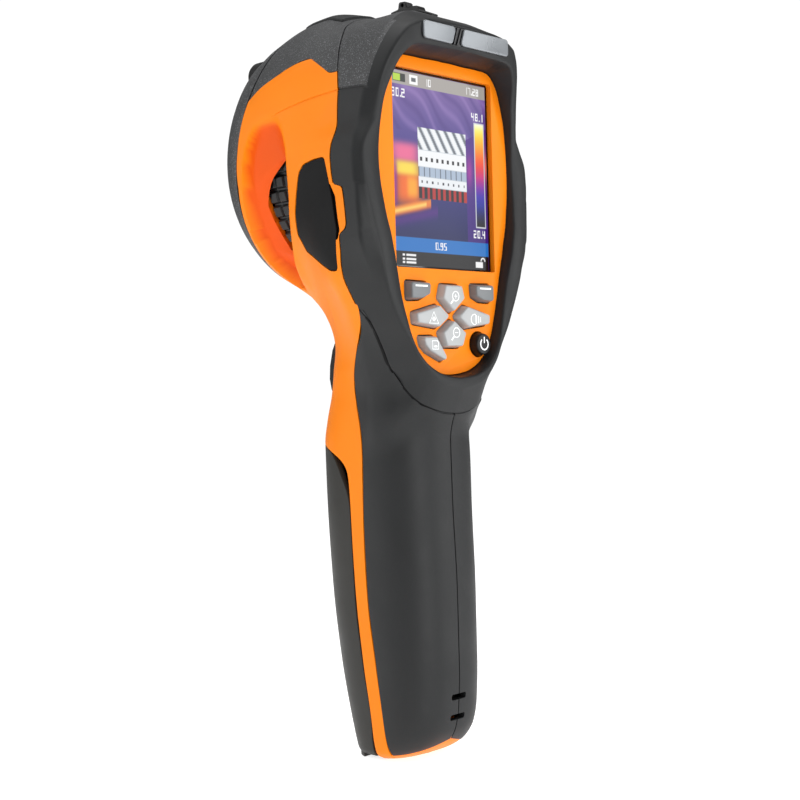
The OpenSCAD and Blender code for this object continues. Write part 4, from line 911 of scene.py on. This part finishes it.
def grips():
    rows = path(GRIP_ROWS, spacing=0.9)
    outer = patch(rows[:, 6:9], rows[:, :3], rows[:, 3:6], np.linspace(0, 1, 40))
    inner = sunk(outer, rows[:, 6:9], WALL)
    half = shell(outer, inner)
    for name, part in (("grip_right", half), ("grip_left", mirrored(half))):
        ob = raw_object(name, part)
        slots = [prism(rounded(box_outline(-3.2, z - 0.9, 3.2, z + 0.9), 0.6), -11, -26)
                 for z in (13.5, 19.8)]
        cut(ob, *slots, lower_seam())
        finish_piece(ob, RUBBER, ROOT, "charcoal_rubber", [name], bevel=0.35, segments=3, limit=45)


DOOR_ROWS = [
    (15.1, 21.7, 96.6, 0, 3, 96.4), (18, 16.3, 94.5, 0, 3, 93.5), (18.8, 13.2, 91, 0, 3, 90.5),
    (19.1, 10.8, 87, 0, 3, 87), (19.2, 8.6, 82.5, 0, 3, 82.5), (19.1, 7.5, 78, 0, 3, 78),
    (18.9, 7.2, 66, 0, 3, 66), (18.6, 6.7, 49, 0, 2, 49), (18.2, 4.6, 30.5, 0, 1, 30.5),
    (17.4, 2, 11.3, 0, 0, 11.3), (16.4, 2.3, 5, 0, 0, 5), (14.8, 2.5, 1.2, 0, 0, 1.2)]


def base_outline():
    a = np.radians(np.arange(0, 360, 3))
    q = 2 / SQUARENESS
    c, s = np.cos(a), np.sin(a)
    return np.stack([15.2 * np.sign(c) * np.abs(c) ** q, 3.2 + 12.4 * np.sign(s) * np.abs(s) ** q], 1)


def battery_cover():
    rows = path(DOOR_ROWS, spacing=0.9)
    left = rows[:, :3] * [-1, 1, 1]
    outer = patch(rows[:, 3:6], rows[:, :3], left, np.linspace(0, 1, 96))
    part = shell(outer, sunk(outer, rows[:, 3:6], WALL - 0.5))
    base = base_outline()
    ob = raw_object("battery_cover", joined(part, slab(base[base[:, 1] > 7.6], 0, 1.6)))
    finish_piece(ob, DOOR, "battery_door", "charcoal_plastic", ["battery_cover"], bevel=0.4, segments=3,
                 limit=45)


def side_covers():
    outline = even_loop(rounded(SOCKET_COVER, 1.6))
    step = even_loop(rounded(COVER_STEP, 0.8))
    for side, name, body in ((-1, "port_cover", "socket_cover"), (1, "side_inlay", ROOT)):
        part = joined(flank_plug(side, outline, 1.3, -0.12, rings=12),
                      flank_plug(side, step, 1.4, -1.0, centre=STEP_CENTRE))
        piece(name, part, SEAL, body, "seal_rubber", [name], bevel=0.45, segments=3, limit=50)


# ---------------------------------------------------------------- face, plates and keys
def panel_outline(gap):
    angles = section_angles()
    a, r = np.radians(angles), PANEL_RADIUS(folded(angles)) - gap
    return np.stack([r * np.sin(a), FACE_Z + r * np.cos(a)], 1)


def stacked(rings, depths):
    """Solid from outlines of equal length at a series of depths."""
    n = len(rings[0])
    verts = np.concatenate([at_depth(o, y) for o, y in zip(rings, depths)])
    faces = grid_faces(len(rings), n, 0, False, True)
    faces += [tuple(range(n)), tuple(range(n * len(rings) - 1, n * (len(rings) - 1) - 1, -1))]
    return verts, faces


def inset(points, by):
    """Polygon with every edge moved inwards."""
    p = np.asarray(points, float)
    q = np.roll(p, -1, 0)
    sign = 1 if (p[:, 0] * q[:, 1] - q[:, 0] * p[:, 1]).sum() > 0 else -1
    d = unit(q - p)
    n = np.stack([-d[:, 1], d[:, 0]], 1) * sign
    c = (n * p).sum(1) + by
    return np.array([np.linalg.solve(np.array([n[i - 1], n[i]]), np.array([c[i - 1], c[i]]))
                     for i in range(len(p))])


def stroke(points, width, y0, y1, closed=False):
    """Ribbon of constant width along a line in X and Z, between two depths."""
    p = np.asarray(points, float)
    if closed:
        d = unit(np.roll(p, -1, 0) - np.roll(p, 1, 0))
    else:
        d = unit(np.concatenate([p[1:2] - p[:1], p[2:] - p[:-2], p[-1:] - p[-2:-1]]))
    across = np.stack([-d[:, 1], d[:, 0]], 1) * width / 2
    a, b = p + across, p - across
    grid = np.array([at_depth(a, y0), at_depth(b, y0), at_depth(b, y1), at_depth(a, y1)])
    n = len(p)
    faces = grid_faces(4, n, 0, True, closed)
    if not closed:
        faces += [tuple(k * n for k in range(4)), tuple(k * n + n - 1 for k in range(3, -1, -1))]
    return grid.reshape(-1, 3), faces


def arc(radius, start, end, centre=(0, 0), count=24):
    t = np.radians(np.linspace(start, end, count))
    return np.stack([centre[0] + radius * np.cos(t), centre[1] + radius * np.sin(t)], 1)


SOFT_KEY = [(9.8, 145.4), (19, 145.6), (19, 139.8), (13.6, 140), (10.2, 141.4)]
UP_KEY = [(-4, 145), (4, 145), (5.3, 140.6), (0, 136.2), (-5.3, 140.6)]
SIDE_KEY = [(1.5, 135.2), (6.2, 138.8), (17, 136.2), (16.6, 132.8), (6.6, 131.6)]
DOWN_KEY = [(0, 134.4), (5.7, 130.4), (3.8, 125.8), (-3.8, 125.8), (-5.7, 130.4)]
SAVE_KEY = [(-14.4, 129.3), (-7.9, 129.4), (-3.5, 123.2), (-4.2, 121.4), (-11.4, 124.4), (-13.6, 126.4)]
POWER_AT, POWER_R = (13.2, 126.9), 3.7
KEY_TOP = -21.0


def swap(points):
    return [(-x, z) for x, z in points][::-1]


KEY_SHAPES = {"key_soft_left": swap(SOFT_KEY), "key_soft_right": SOFT_KEY, "key_up": UP_KEY,
              "key_down": DOWN_KEY, "key_left": swap(SIDE_KEY), "key_right": SIDE_KEY, "key_save": SAVE_KEY}


def key_outline(name, by=0.0):
    """Outline of a key, moved inwards."""
    if name == "key_power":
        return circle(POWER_R - by, 64, POWER_AT)
    return rounded(inset(KEY_SHAPES[name], by), 0.9 - 0.4 * by)


def about(centre, *offsets):
    """Points at offsets from a middle point."""
    return [(centre[0] + dx, centre[1] + dz) for dx, dz in offsets]


def line(points, width=0.26, closed=False):
    """Stroke of white on top of a key."""
    return stroke(points, width, KEY_TOP - 0.05, KEY_TOP + 0.12, closed)


def icon(name):
    """Thin printed mark on a key, in strokes of white."""
    if name in ("key_soft_left", "key_soft_right"):
        x = -14.6 if name == "key_soft_left" else 14.4
        return [line([(x - 2.6, 144), (x + 2.6, 144)], 0.5)]
    if name in ("key_up", "key_down"):
        z = 141 if name == "key_up" else 130
        out = [line(circle(1.45, 32, (0.4, z + 0.3)), 0.25, True),
               line([(-0.7, z - 0.8), (-1.9, z - 2)], 0.5),
               line([(-0.3, z + 0.3), (1.1, z + 0.3)], 0.22)]
        return out + ([line([(0.4, z - 0.4), (0.4, z + 1)], 0.22)] if name == "key_up" else [])
    if name == "key_left":
        c = (-9.6, 134.4)
        return [line(about(c, (-2, -1.4), (2, -1.4), (0, 2)), 0.25, True),
                line(circle(0.45, 16, (c[0], c[1] - 0.1)), 0.4, True)]
    if name == "key_right":
        c = (9.8, 134.4)
        bars = [(-0.2, 1.3, 0.5), (0.9, 1.1, 0.4), (1.9, 0.8, 0.25)]
        return [line(arc(1.6, 70, 290, (c[0] - 0.9, c[1])), 0.25)] + [
            line(about(c, (x, half), (x, -half)), width) for x, half, width in bars]
    if name == "key_save":
        c = (-9.2, 126.5)
        return [line(about(c, (-1.3, -1.2), (1.3, -1.2), (1.3, 0.8), (0.8, 1.3), (-1.3, 1.3)), 0.25, True),
                line(about(c, (-0.6, -0.4), (0.7, -0.4)), 0.5)]
    return [line(arc(1.75, 130, 410, POWER_AT), 0.45), line(about(POWER_AT, (0, 0.3), (0, 2.2)), 0.45)]


def keys():
    for name in list(KEY_SHAPES) + ["key_power"]:
        round_key = name == "key_power"
        finish = BLACK if round_key else KEY_GREY if "soft" in name else KEY_SILVER
        slot = "black_plastic" if round_key else "key_grey" if "soft" in name else "key_silver"
        rings = [key_outline(name, by) for by in (0, 0, 0.45, 0.52, 0.68, 0.95)]
        depths = [-15.9, -18.2, KEY_TOP + 0.55, KEY_TOP + 0.28, KEY_TOP + 0.06, KEY_TOP]
        piece(name, stacked(rings, depths), finish, "b_" + name, slot, [name], sharp=60)
        piece(name + "_mark", joined(*icon(name)), MARK, "b_" + name, slot, sharp=50)


def face_panel():
    ob = raw_object("face_panel", prism(panel_outline(0.05), PANEL_Y + 1.8, PANEL_Y))
    w, h = DISPLAY_W / 2 + 0.7, DISPLAY_H / 2 + 0.7
    cuts = [prism(rounded(box_outline(-w, DISPLAY_Z - h, w, DISPLAY_Z + h), 0.8), -10, -26)]
    cuts += [prism(key_outline(name, -0.35), -10, -26) for name in list(KEY_SHAPES) + ["key_power"]]
    cut(ob, *cuts)
    finish_piece(ob, ORANGE, ROOT, "orange_plastic", ["face_panel"], bevel=0.3, segments=3, limit=50)


def name_plate():
    low, high = 214.9, 220.1
    left = rounded([(-19, low), (-6.7, low), (-4.9, high), (-19, high)], 1.1)
    right = rounded([(-3.0, low), (19, low), (19, high), (-1.2, high)], 1.1)
    wedge = [(-6.1, low), (-5.4, low), (-3.2, high), (-4.3, high)]
    second = [(-4.7, low), (-3.9, low), (-2.0, high), (-2.6, high)]
    for name, shape, extra in (("name_plate", left, ["name_plate"]), ("name_plate_right", right, [])):
        piece(name, prism(shape, -28.0, -28.75), PLATE, ROOT, "light_plastic", extra, bevel=0.22, segments=3,
              limit=50)
    piece("plate_stripes", joined(prism(wedge, -28.0, -28.6), prism(second, -28.0, -28.6)), PLATE_DARK, ROOT,
          "light_plastic", bevel=0.06, limit=50)
    piece("plate_bed", prism(rounded(box_outline(-19.2, 214.7, 19.2, 220.3), 1.3), -27.8, -28.05), PLATE_DARK,
          ROOT, "light_plastic")


# ---------------------------------------------------------------- display picture
SEGMENTS = {"0": "abcdef", "1": "bc", "2": "abged", "3": "abgcd", "4": "fgbc", "5": "afgcd", "6": "afgedc",
            "7": "abc", "8": "abcdefg", "9": "abcdfg"}


def digits(X, Z, text, x, z, height):
    """Mask of seven-bar numerals with their lower left corner at (x, z)."""
    w, t = height * 0.5, height * 0.13
    mask = np.zeros(X.shape, bool)
    for ch in text:
        if ch in SEGMENTS:
            u, v = X - x, Z - z
            bars = {"a": (0, w, height - t, height), "d": (0, w, 0, t),
                    "g": (0, w, height / 2 - t / 2, height / 2 + t / 2), "f": (0, t, height / 2, height),
                    "b": (w - t, w, height / 2, height), "e": (0, t, 0, height / 2),
                    "c": (w - t, w, 0, height / 2)}
            for s in SEGMENTS[ch]:
                x0, x1, z0, z1 = bars[s]
                mask |= (u >= x0) & (u <= x1) & (v >= z0) & (v <= z1)
            x += w * 1.45
        else:
            mask |= (np.abs(X - x - t / 2) < t * 0.7) & (Z > z) & (Z < z + t * 1.5)
            x += w * 0.5
    return mask


def thermal_picture(X, Z):
    """Colour of the false-colour picture, in sRGB 0 to 255, at X and Z from its lower left corner."""
    img = np.zeros(X.shape + (3,))

    def fill(mask, colour, soft=1.0):
        m = (mask.astype(float) * soft)[..., None]
        img[:] = img * (1 - m) + np.array(colour, float) * m

    def box(x0, x1, z0, z1):
        return (X >= x0) & (X < x1) & (Z >= z0) & (Z < z1)

    def glow(x, z, sx, sz, power=2.0):
        return np.exp(-(np.abs((X - x) / sx) ** power + np.abs((Z - z) / sz) ** power))

    t = np.clip((Z - 8.5) / 45, 0, 1)[..., None]
    low, mid, high = np.array([14, 24, 84.]), np.array([52, 44, 128.]), np.array([118, 92, 158.])
    img[:] = np.where(t < 0.45, low + (mid - low) * t / 0.45, mid + (high - mid) * (t - 0.45) / 0.55)
    wave = np.sin((X * 0.55 + Z * 0.8) + 0.9 * np.sin(X * 0.35) + 1.3 * np.sin(Z * 0.21))
    fill(np.clip(wave, 0, 1) ** 3 * (Z > 40), (168, 140, 200), 0.35)
    fill(np.clip(-wave, 0, 1) ** 3 * (Z > 40), (66, 44, 120), 0.4)
    fill((X > 33.5) & (Z < 40 + (X - 33.5) * 0.45), (70, 24, 130), 0.75)
    for spot, colour, soft in (
            ((35, 30.5, 1.6, 5), (190, 40, 160), 0.7), ((43.2, 32.5, 1.6, 5), (255, 120, 90), 0.9),
            ((6, 33.5, 6.5, 3.2, 4), (250, 110, 150), 0.9), ((7, 23.5, 6.0, 6.0, 4), (250, 110, 20), 0.95),
            ((6.5, 29, 6.0, 2.2, 4), (255, 224, 70), 0.95), ((9, 23.5, 2.4, 3.2, 4), (255, 190, 40), 0.7),
            ((1.2, 24, 1.3, 7, 4), (140, 30, 150), 0.7)):
        fill(glow(*spot), colour, soft)
    bar = Z - (15.5 + 0.22 * X)
    fill(np.exp(-(bar / 1.6) ** 4) * (X < 17), (255, 140, 40), 0.9)
    fill(np.exp(-(bar / 0.7) ** 2) * (X < 15), (255, 225, 110), 0.8)
    fill(np.exp(-((bar + 3) / 1.8) ** 2) * (X < 20), (110, 20, 140), 0.5)
    inset = box(11.8, 33.5, 20.5, 41.8)
    fill(inset, (196, 204, 212))
    cable = np.sin((X * 1.1 + Z * 0.75) * 1.5)
    fill(inset & (Z > 35) & (cable > 0.1), (238, 240, 242))
    fill(inset & (Z > 35) & (cable < -0.55), (110, 116, 124))
    cell = (X - 11.8) % 2.4
    fill(inset & (Z > 30) & (Z < 35), (240, 242, 244))
    fill(inset & (Z > 31.6) & (Z < 33) & (cell > 0.7) & (cell < 1.7), (34, 34, 40))
    fill(inset & (Z > 27) & (Z < 30), (168, 184, 204))
    fill(inset & (Z > 27) & (Z < 30) & (cell < 0.3), (90, 98, 112))
    fill(inset & (Z > 24) & (Z < 27), (232, 236, 240))
    fill(inset & (Z > 25) & (Z < 26) & (cell > 1.0) & (cell < 1.6), (60, 60, 70))
    fill(inset & (Z < 24) & (cell > 1.2), (176, 40, 40))
    fill(inset & (Z < 24) & (cell <= 1.2), (26, 26, 32))
    frame = box(37.6, 42.3, 13.1, 46)
    fill(frame, (205, 208, 214))
    stops = np.array([14, 16, 20, 23, 26, 29, 33, 37, 41, 43.5, 46.0])
    ramp = np.array([(4, 6, 20), (12, 16, 70), (24, 40, 150), (60, 40, 170), (130, 30, 160), (200, 30, 120),
                     (240, 70, 40), (252, 140, 20), (255, 200, 40), (255, 236, 110), (255, 255, 250)], float)
    inside = box(38, 41.9, 13.5, 45.6)
    fill(inside, (0, 0, 0))
    for c in range(3):
        img[..., c] = np.where(inside, np.interp(Z, stops, ramp[:, c]), img[..., c])
    for area, colour in (
            ((0, DISPLAY_W, 53.5, DISPLAY_H), (165, 160, 155)), ((1.5, 7, 54.3, 56.8), (40, 44, 40)),
            ((1.8, 4.8, 54.6, 56.5), (180, 214, 60)), ((8.8, 12.3, 54.2, 56.9), (246, 246, 246)),
            ((9.6, 11.5, 54.9, 56.2), (96, 100, 104)), ((0, DISPLAY_W, 4.3, 8.5), (20, 112, 190)),
            ((0, DISPLAY_W, 0, 4.3), (8, 8, 10))):
        fill(box(*area), colour)
    for text, x, z, height in (("17,28", 33.6, 54.4, 2.2), ("10", 15.4, 54.4, 2.2), ("30,2", 0.9, 49.8, 2.5),
                               ("48,1", 36.6, 46.5, 2.4), ("20,4", 36.4, 9.9, 2.4), ("0,95", 18.6, 5.3, 2.2)):
        fill(digits(X, Z, text, x, z, height), (250, 250, 250))
    for z in (1.0, 2.1, 3.2):
        fill(box(4, 4.9, z - 0.3, z + 0.3) | box(5.6, 9.8, z - 0.3, z + 0.3), (240, 240, 240))
    fill(box(37, 40.4, 0.8, 2.6), (240, 240, 240))
    shackle = np.hypot(X - 40.4, Z - 2.8)
    fill((np.abs(shackle - 0.9) < 0.25) & (Z > 2.7), (240, 240, 240))
    return img


def display():
    w, h = DISPLAY_W / 2 - 1 + 1.6, DISPLAY_H / 2 - 1 + 1.6
    window = prism(rounded(box_outline(-w, DISPLAY_Z - h, w, DISPLAY_Z + h), 0.6), -15.7, -16.5)
    piece("display_window", window, GLASS_BLACK, ROOT, "screen_glass", ["display_window"], bevel=0.1)
    nx, nz = 216, 288
    x, z = np.linspace(0, DISPLAY_W, nx + 1), np.linspace(0, DISPLAY_H, nz + 1)
    X, Z = np.meshgrid(x, z)
    front = np.stack([X - DISPLAY_W / 2, np.full(X.shape, -16.56), Z + DISPLAY_Z - DISPLAY_H / 2], -1)
    edge = [(0, j) for j in range(nx)] + [(i, nx) for i in range(nz)]
    edge += [(nz, j) for j in range(nx, 0, -1)] + [(i, 0) for i in range(nz, 0, -1)]
    count = front.shape[0] * front.shape[1]
    back = np.array([front[e] + [0, 0.05, 0] for e in edge])
    ids = [e[0] * (nx + 1) + e[1] for e in edge]
    faces = grid_faces(nz + 1, nx + 1)
    faces += [(ids[k], ids[k - 1], count + (k - 1) % len(ids), count + k) for k in range(len(ids))]
    faces.append(tuple(range(count, count + len(ids))))
    mesh = bpy.data.meshes.new("display_picture")
    mesh.from_pydata([tuple(v) for v in np.concatenate([front.reshape(-1, 3), back]) * MM], [], faces)
    ob = link(bpy.data.objects.new("display_picture", mesh))
    rgb = thermal_picture(X, Z).reshape(-1, 3) / 255
    rgb = np.where(rgb <= 0.04045, rgb / 12.92, ((rgb + 0.055) / 1.055) ** 2.4)
    rgb = np.concatenate([rgb, np.zeros((len(back), 3))])
    layer = mesh.color_attributes.new("picture", "FLOAT_COLOR", "POINT")
    layer.data.foreach_set("color", np.concatenate([rgb, np.ones((len(rgb), 1))], 1).ravel())
    mesh.materials.append(SCREEN)
    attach(ob, ROOT)


# ---------------------------------------------------------------- wheel, trigger and optics
def focus_wheel():
    ribs, per = 48, 8
    angles = np.arange(ribs * per) * 360 / (ribs * per)
    place = (np.arange(ribs * per) % per) / per
    y = np.concatenate([[9.0], np.linspace(9.6, 24.4, 38), [25.0]])
    groove = np.where(place < 0.2, 1.0, 0.0)[:, None]
    rows = (np.abs((y - 9) % 4.0 - 2.0) > 1.7) * 0.7
    rows[[0, 1, -2, -1]] = 0.0
    radius = 34.6 - np.maximum(groove, rows[None]) - np.where((y < 9.3) | (y > 24.7), 0.5, 0)[None]
    grid = np.stack([polar(LENS_Z, angles, radius[:, k], y[k]) for k in range(len(y))])
    bore = np.stack([polar(LENS_Z, angles, 21.66 + 0 * angles, d) for d in (25.0, 9.0)])
    grid = np.concatenate([grid, bore])
    piece("focus_wheel", (grid.reshape(-1, 3), grid_faces(len(grid), len(angles), 0, True, True)), BLACK,
          "focus_dial", "black_plastic", ["focus_wheel"], bevel=0.12, limit=50)


TRIGGER_SIDE = [(20.4, 133.4), (23.4, 130.6), (25.6, 126.6), (26.9, 121.6), (27.2, 117.4), (26.4, 113.8),
                (24.2, 111.6), (21, 111), (17.4, 111.8), (15.6, 116), (13, 124), (11.2, 134), (12, 136.4)]


def trigger():
    outline = rounded(TRIGGER_SIDE, 1.2)
    ob = raw_object("trigger", along_x(outline, -TRIGGER_HALF, TRIGGER_HALF))
    at = [(27.9 - 0.09 * abs(k), 118.6 + 2.2 * k) for k in (-1, 0, 1, 2)]
    ribs = [rod((-9, y, z), (9, y, z), 0.55, 16) for y, z in at]
    cut(ob, *ribs, rod((-9, 13.5, 134.5), (9, 13.5, 134.5), 1.05, 32))
    finish_piece(ob, BLACK, "trigger_lever", "black_plastic", ["trigger"], bevel=0.5, segments=3, limit=50)


def optics():
    bezel = [(25.5, 35.7), (25.5, 41.2), (24.6, 41.2), (21.2, 36.4), (21.2, 34.3), (24, 34.3), (24, 35.7)]
    piece("lens_bezel", turned(bezel, 160), BLACK, ROOT, "black_plastic", ["lens_bezel"], bevel=0.25,
          segments=3, limit=30)
    dome = [(14.5 * i / 14, 29.4 + 1.8 * (1 - (i / 14) ** 2)) for i in range(14, -1, -1)]
    piece("front_lens", turned([(0, 26.1), (14.5, 26.1)] + dome, 120), GERMANIUM, "lens_group", "germanium",
          ["front_lens"], weld=0.01, sharp=50)
    carriage = [(20.14, 6.8), (20.14, 33), (17.4, 33), (17.0, 32.2), (16.4, 32.2), (16.0, 31.4),
                (14.55, 31.2), (14.55, 26), (12.5, 26), (10, 14.2), (8.06, 14.2), (8.06, 10.6), (6.6, 10.6),
                (6.6, 6.8)]
    piece("lens_carriage", turned(carriage, 128), BLACK, "lens_group", "black_plastic", ["lens_carriage"],
          bevel=0.15, limit=30)
    pod = [(3.5, 34), (4.25, 34), (4.25, 41.45), (5.3, 41.45), (5.3, 45.4), (4.9, 46.3), (4.2, 46.7),
           (3.7, 46.7), (3.7, 45.6), (3.5, 45.6)]
    for side, name, window, glass in ((-1, "camera_pod", "camera_window", GLASS),
                                      (1, "lamp_pod", "lamp_lens", LAMP)):
        at = (side * POD_X, POD_Z)
        piece(name, turned(pod, 64, at), BLACK, ROOT, "black_plastic", [name], bevel=0.15, limit=30)
        disc = [(0, 45.65), (3.65, 45.65), (3.65, 46.1), (3.4, 46.25), (2, 46.32), (0, 46.35)]
        piece(window, turned(disc, 48, at), glass, ROOT, "clear_glass", [window], weld=0.01, sharp=40)


def accessory_lug():
    side = [(-15.8, 226.8), (-13, 227.85), (-10, 228.95), (-7.2, 229.7), (-1.8, 230.1), (1.2, 230.2),
            (1.2, 230.9), (-1.9, 231.3), (-2.2, 233), (-2.6, 233.4), (-4.8, 233.2), (-5.4, 232.8), (-5.6, 231),
            (-6.8, 230.9), (-7.2, 231.3), (-9.6, 231), (-10.4, 230.6), (-10.8, 229.6), (-15.8, 227.4)]
    ob = raw_object("accessory_lug", along_x(side, -1.6, 1.6))
    cut(ob, rod((-5, -3.7, 232.2), (5, -3.7, 232.2), 0.5, 24))
    finish_piece(ob, BLACK, ROOT, "charcoal_plastic", ["accessory_lug"], bevel=0.25, segments=3, limit=30)


front_housing()
rear_housing()
top_cover()
top_trim()
front_ring()
grips()
battery_cover()
side_covers()
face_panel()
name_plate()
keys()
display()
focus_wheel()
trigger()
optics()
accessory_lug()


# ---------------------------------------------------------------- stage
def area_light(name, place, target, size, power, colour=(1, 1, 1)):
    data = bpy.data.lights.new(name, "AREA")
    data.shape, data.size, data.size_y = "RECTANGLE", size[0], size[1]
    data.energy, data.color = power, colour
    ob = link(bpy.data.objects.new(name, data))
    ob.location = place
    ob.rotation_mode = "QUATERNION"
    ob.rotation_quaternion = (Vector(target) - Vector(place)).to_track_quat("-Z", "Y")


def stage():
    mesh = bpy.data.meshes.new("floor")
    mesh.from_pydata([(-0.8, -0.8, 0), (0.8, -0.8, 0), (0.8, 0.8, 0), (-0.8, 0.8, 0)], [], [(0, 1, 2, 3)])
    floor = link(bpy.data.objects.new("floor", mesh))
    white = material("floor_white", "F4F4F4", rough=0.22, vary=0.03, grain=2, bump=0.01, wear=0.003)
    glow = white.node_tree.nodes["Principled BSDF"]
    glow.inputs["Emission Color"].default_value = (1, 1, 1, 1)
    glow.inputs["Emission Strength"].default_value = 0.8
    mesh.materials.append(white)
    floor.location.z = -0.0002
    world = bpy.data.worlds.new("studio")
    bpy.context.scene.world = world
    world.use_nodes = True
    nodes, links = world.node_tree.nodes, world.node_tree.links
    sky = nodes["Background"]
    sky.inputs["Color"].default_value = (1, 1, 1, 1)
    sky.inputs["Strength"].default_value = 0.3
    plain = nodes.new("ShaderNodeBackground")
    plain.inputs["Strength"].default_value = 1.05
    seen, mix = nodes.new("ShaderNodeLightPath"), nodes.new("ShaderNodeMixShader")
    links.new(seen.outputs["Is Camera Ray"], mix.inputs["Fac"])
    links.new(sky.outputs["Background"], mix.inputs[1])
    links.new(plain.outputs["Background"], mix.inputs[2])
    plain.inputs["Color"].default_value = (1, 1, 1, 1)
    links.new(mix.outputs["Shader"], nodes["World Output"].inputs["Surface"])
    area_light("left", (-0.60, 0.42, 0.30), (0, 0, 0.13), (0.5, 0.9), 2.4)
    area_light("right", (0.42, -0.60, 0.26), (0, 0, 0.13), (0.4, 0.8), 3.2)
    area_light("top", (-0.15, 0.05, 0.95), (0, 0, 0.13), (0.7, 0.7), 4.0)
    area_light("front", (-0.28, -0.85, 0.24), (0, 0, 0.14), (0.5, 0.4), 3.4)
    bpy.context.scene.view_settings.view_transform = "Standard"


def camera():
    """Eye level with the middle of the object, to the user's left of its rear face."""
    azimuth, elevation, roll = math.radians(-46.2), math.radians(0.6), math.radians(-1.5)
    back = Vector((math.sin(azimuth) * math.cos(elevation), -math.cos(azimuth) * math.cos(elevation),
                   math.sin(elevation)))
    right = Vector((math.cos(azimuth), math.sin(azimuth), 0))
    up = back.cross(right)
    x = math.cos(roll) * right + math.sin(roll) * up
    y = -math.sin(roll) * right + math.cos(roll) * up
    data = bpy.data.cameras.new("camera")
    data.lens, data.sensor_width = 63, 36
    eye = Vector((-317.5, -301.4, 114.8)) * MM
    ob = link(bpy.data.objects.new("camera", data))
    ob.matrix_world = Matrix.Translation(eye) @ Matrix((x, y, back)).transposed().to_4x4()
    bpy.context.scene.camera = ob


stage()
camera()

slots = {part["node"]: part["material_slot"] for part in frame["record"]["subparts"]}
for node, ob in frame["nodes"].items():
    ob.data.materials.clear()
    ob.data.materials.append(SLOT_FINISH[slots[node]])
